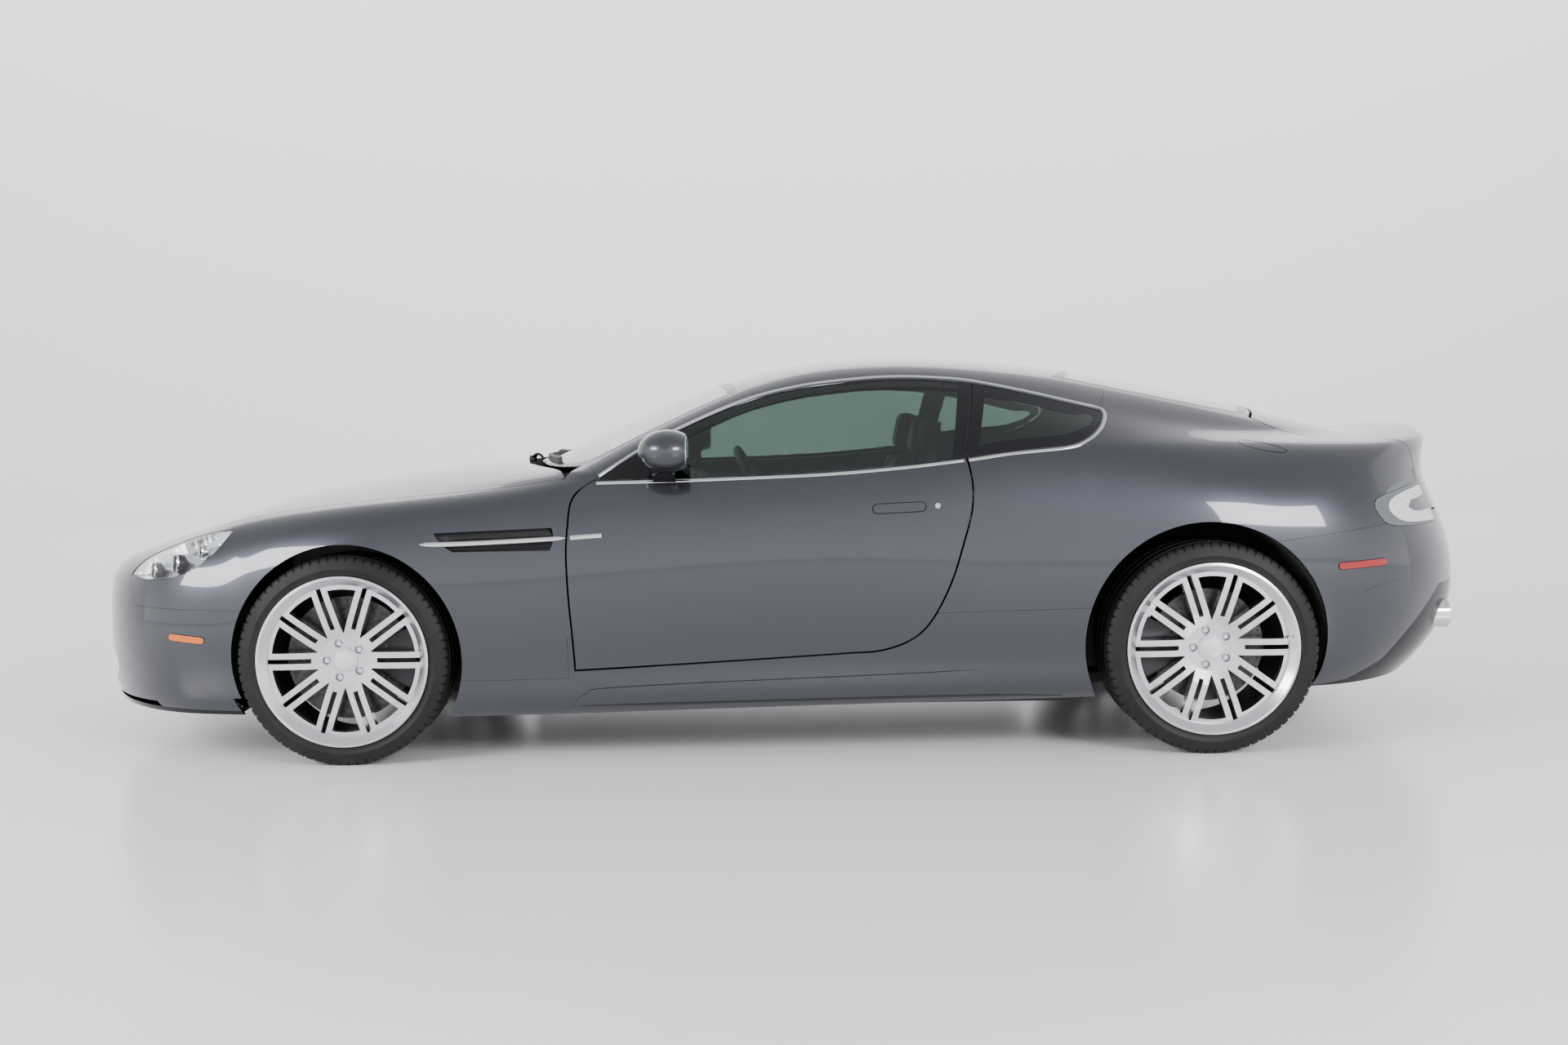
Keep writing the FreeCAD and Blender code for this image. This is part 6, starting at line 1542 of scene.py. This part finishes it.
# %% [markdown]
# ## Studio and camera
# The photograph was taken in a white room from the car's left side, a little above door height, about six
# metres away. Light comes evenly from all sides and less from above, so the paint shows its own grey. Two
# soft boxes near the camera put the bright patches on the wing and on the haunch, and a third lamp lights the
# wall. The camera's height, tilt and lens were worked out from the wheels and the roof line.

# %% Floor, walls and light
def stage_piece(name, points, faces, look):
    mesh = bpy.data.meshes.new(name)
    mesh.from_pydata(points, [], faces)
    mesh.shade_smooth()
    mesh.materials.append(look)
    piece = add_object(name, mesh)
    return piece


studio_floor = finish("studio_floor", (0.86, 0.86, 0.865), 0.0, 0.22, Specular_IOR_Level=0.35)
studio_wall = finish("studio_wall", (0.84, 0.845, 0.84), 0.0, 0.9)
FLOOR_HALF = 14
WALL_RADII = (12.5, 12.0)
WALL_HEIGHT = 8.0
WALL_COLUMNS = 48
corners = [(x * FLOOR_HALF, y * FLOOR_HALF, 0) for x, y in ((-1, -1), (1, -1), (1, 1), (-1, 1))]
stage_piece("floor_of_studio", corners, [(0, 1, 2, 3)], studio_floor)
wall_points = [(-WALL_RADII[0] * math.cos(a), WALL_RADII[1] * math.sin(a), z)
               for a in np.linspace(0, math.pi, WALL_COLUMNS + 1) for z in (0.0, WALL_HEIGHT)]
stage_piece("wall_of_studio", wall_points, quads(WALL_COLUMNS + 1, 2, closed=False), studio_wall)

world = bpy.data.worlds.new("studio_air")
bpy.context.scene.world = world
world.use_nodes = True
air = world.node_tree.nodes
direction = air.new("ShaderNodeTexCoord")
parts = air.new("ShaderNodeSeparateXYZ")
fade = air.new("ShaderNodeMapRange")
for socket, value in (("From Min", 0.0), ("From Max", 0.5), ("To Min", 2.15), ("To Max", 0.95)):
    fade.inputs[socket].default_value = value
air["Background"].inputs[0].default_value = (0.95, 0.965, 1.0, 1)
world.node_tree.links.new(direction.outputs["Generated"], parts.inputs[0])
world.node_tree.links.new(parts.outputs["Z"], fade.inputs["Value"])
world.node_tree.links.new(fade.outputs["Result"], air["Background"].inputs[1])


def soft_panel(name, place, aim, wide, deep, power):
    lamp = bpy.data.lights.new(name, "AREA")
    lamp.shape = "RECTANGLE"
    lamp.size = wide
    lamp.size_y = deep
    lamp.energy = power
    holder = add_object(name, lamp)
    holder.location = place
    holder.rotation_euler = (Vector(aim) - Vector(place)).to_track_quat("-Z", "Y").to_euler()


soft_panel("right_box", (6.0, -8.5, 4.6), (1.4, -0.8, 0.7), 4.0, 3.0, 900)
soft_panel("left_box", (-7.5, -6.0, 4.6), (-1.4, -0.6, 0.8), 4.0, 2.6, 750)
soft_panel("wall_wash", (0, 7.0, 7.0), (0, 12.0, 1.0), 14, 2.5, 500)

# %% Camera
SENSOR = 36.0
FOCAL_SHARE = 2125.0 / 1920.0
TILT, ROLL = 90 - 4.36, -0.89
camera = bpy.data.cameras.new("camera")
camera.sensor_width = SENSOR
camera.lens = FOCAL_SHARE * SENSOR
eye = add_object("camera", camera)
eye.location = (0.008, -6.315, 1.166)
eye.rotation_euler = (Matrix.Rotation(math.radians(TILT), 4, "X")
                      @ Matrix.Rotation(math.radians(ROLL), 4, "Z")).to_euler()
bpy.context.scene.camera = eye
print("lens", round(camera.lens, 2), "mm, lamps", len(bpy.data.lights))
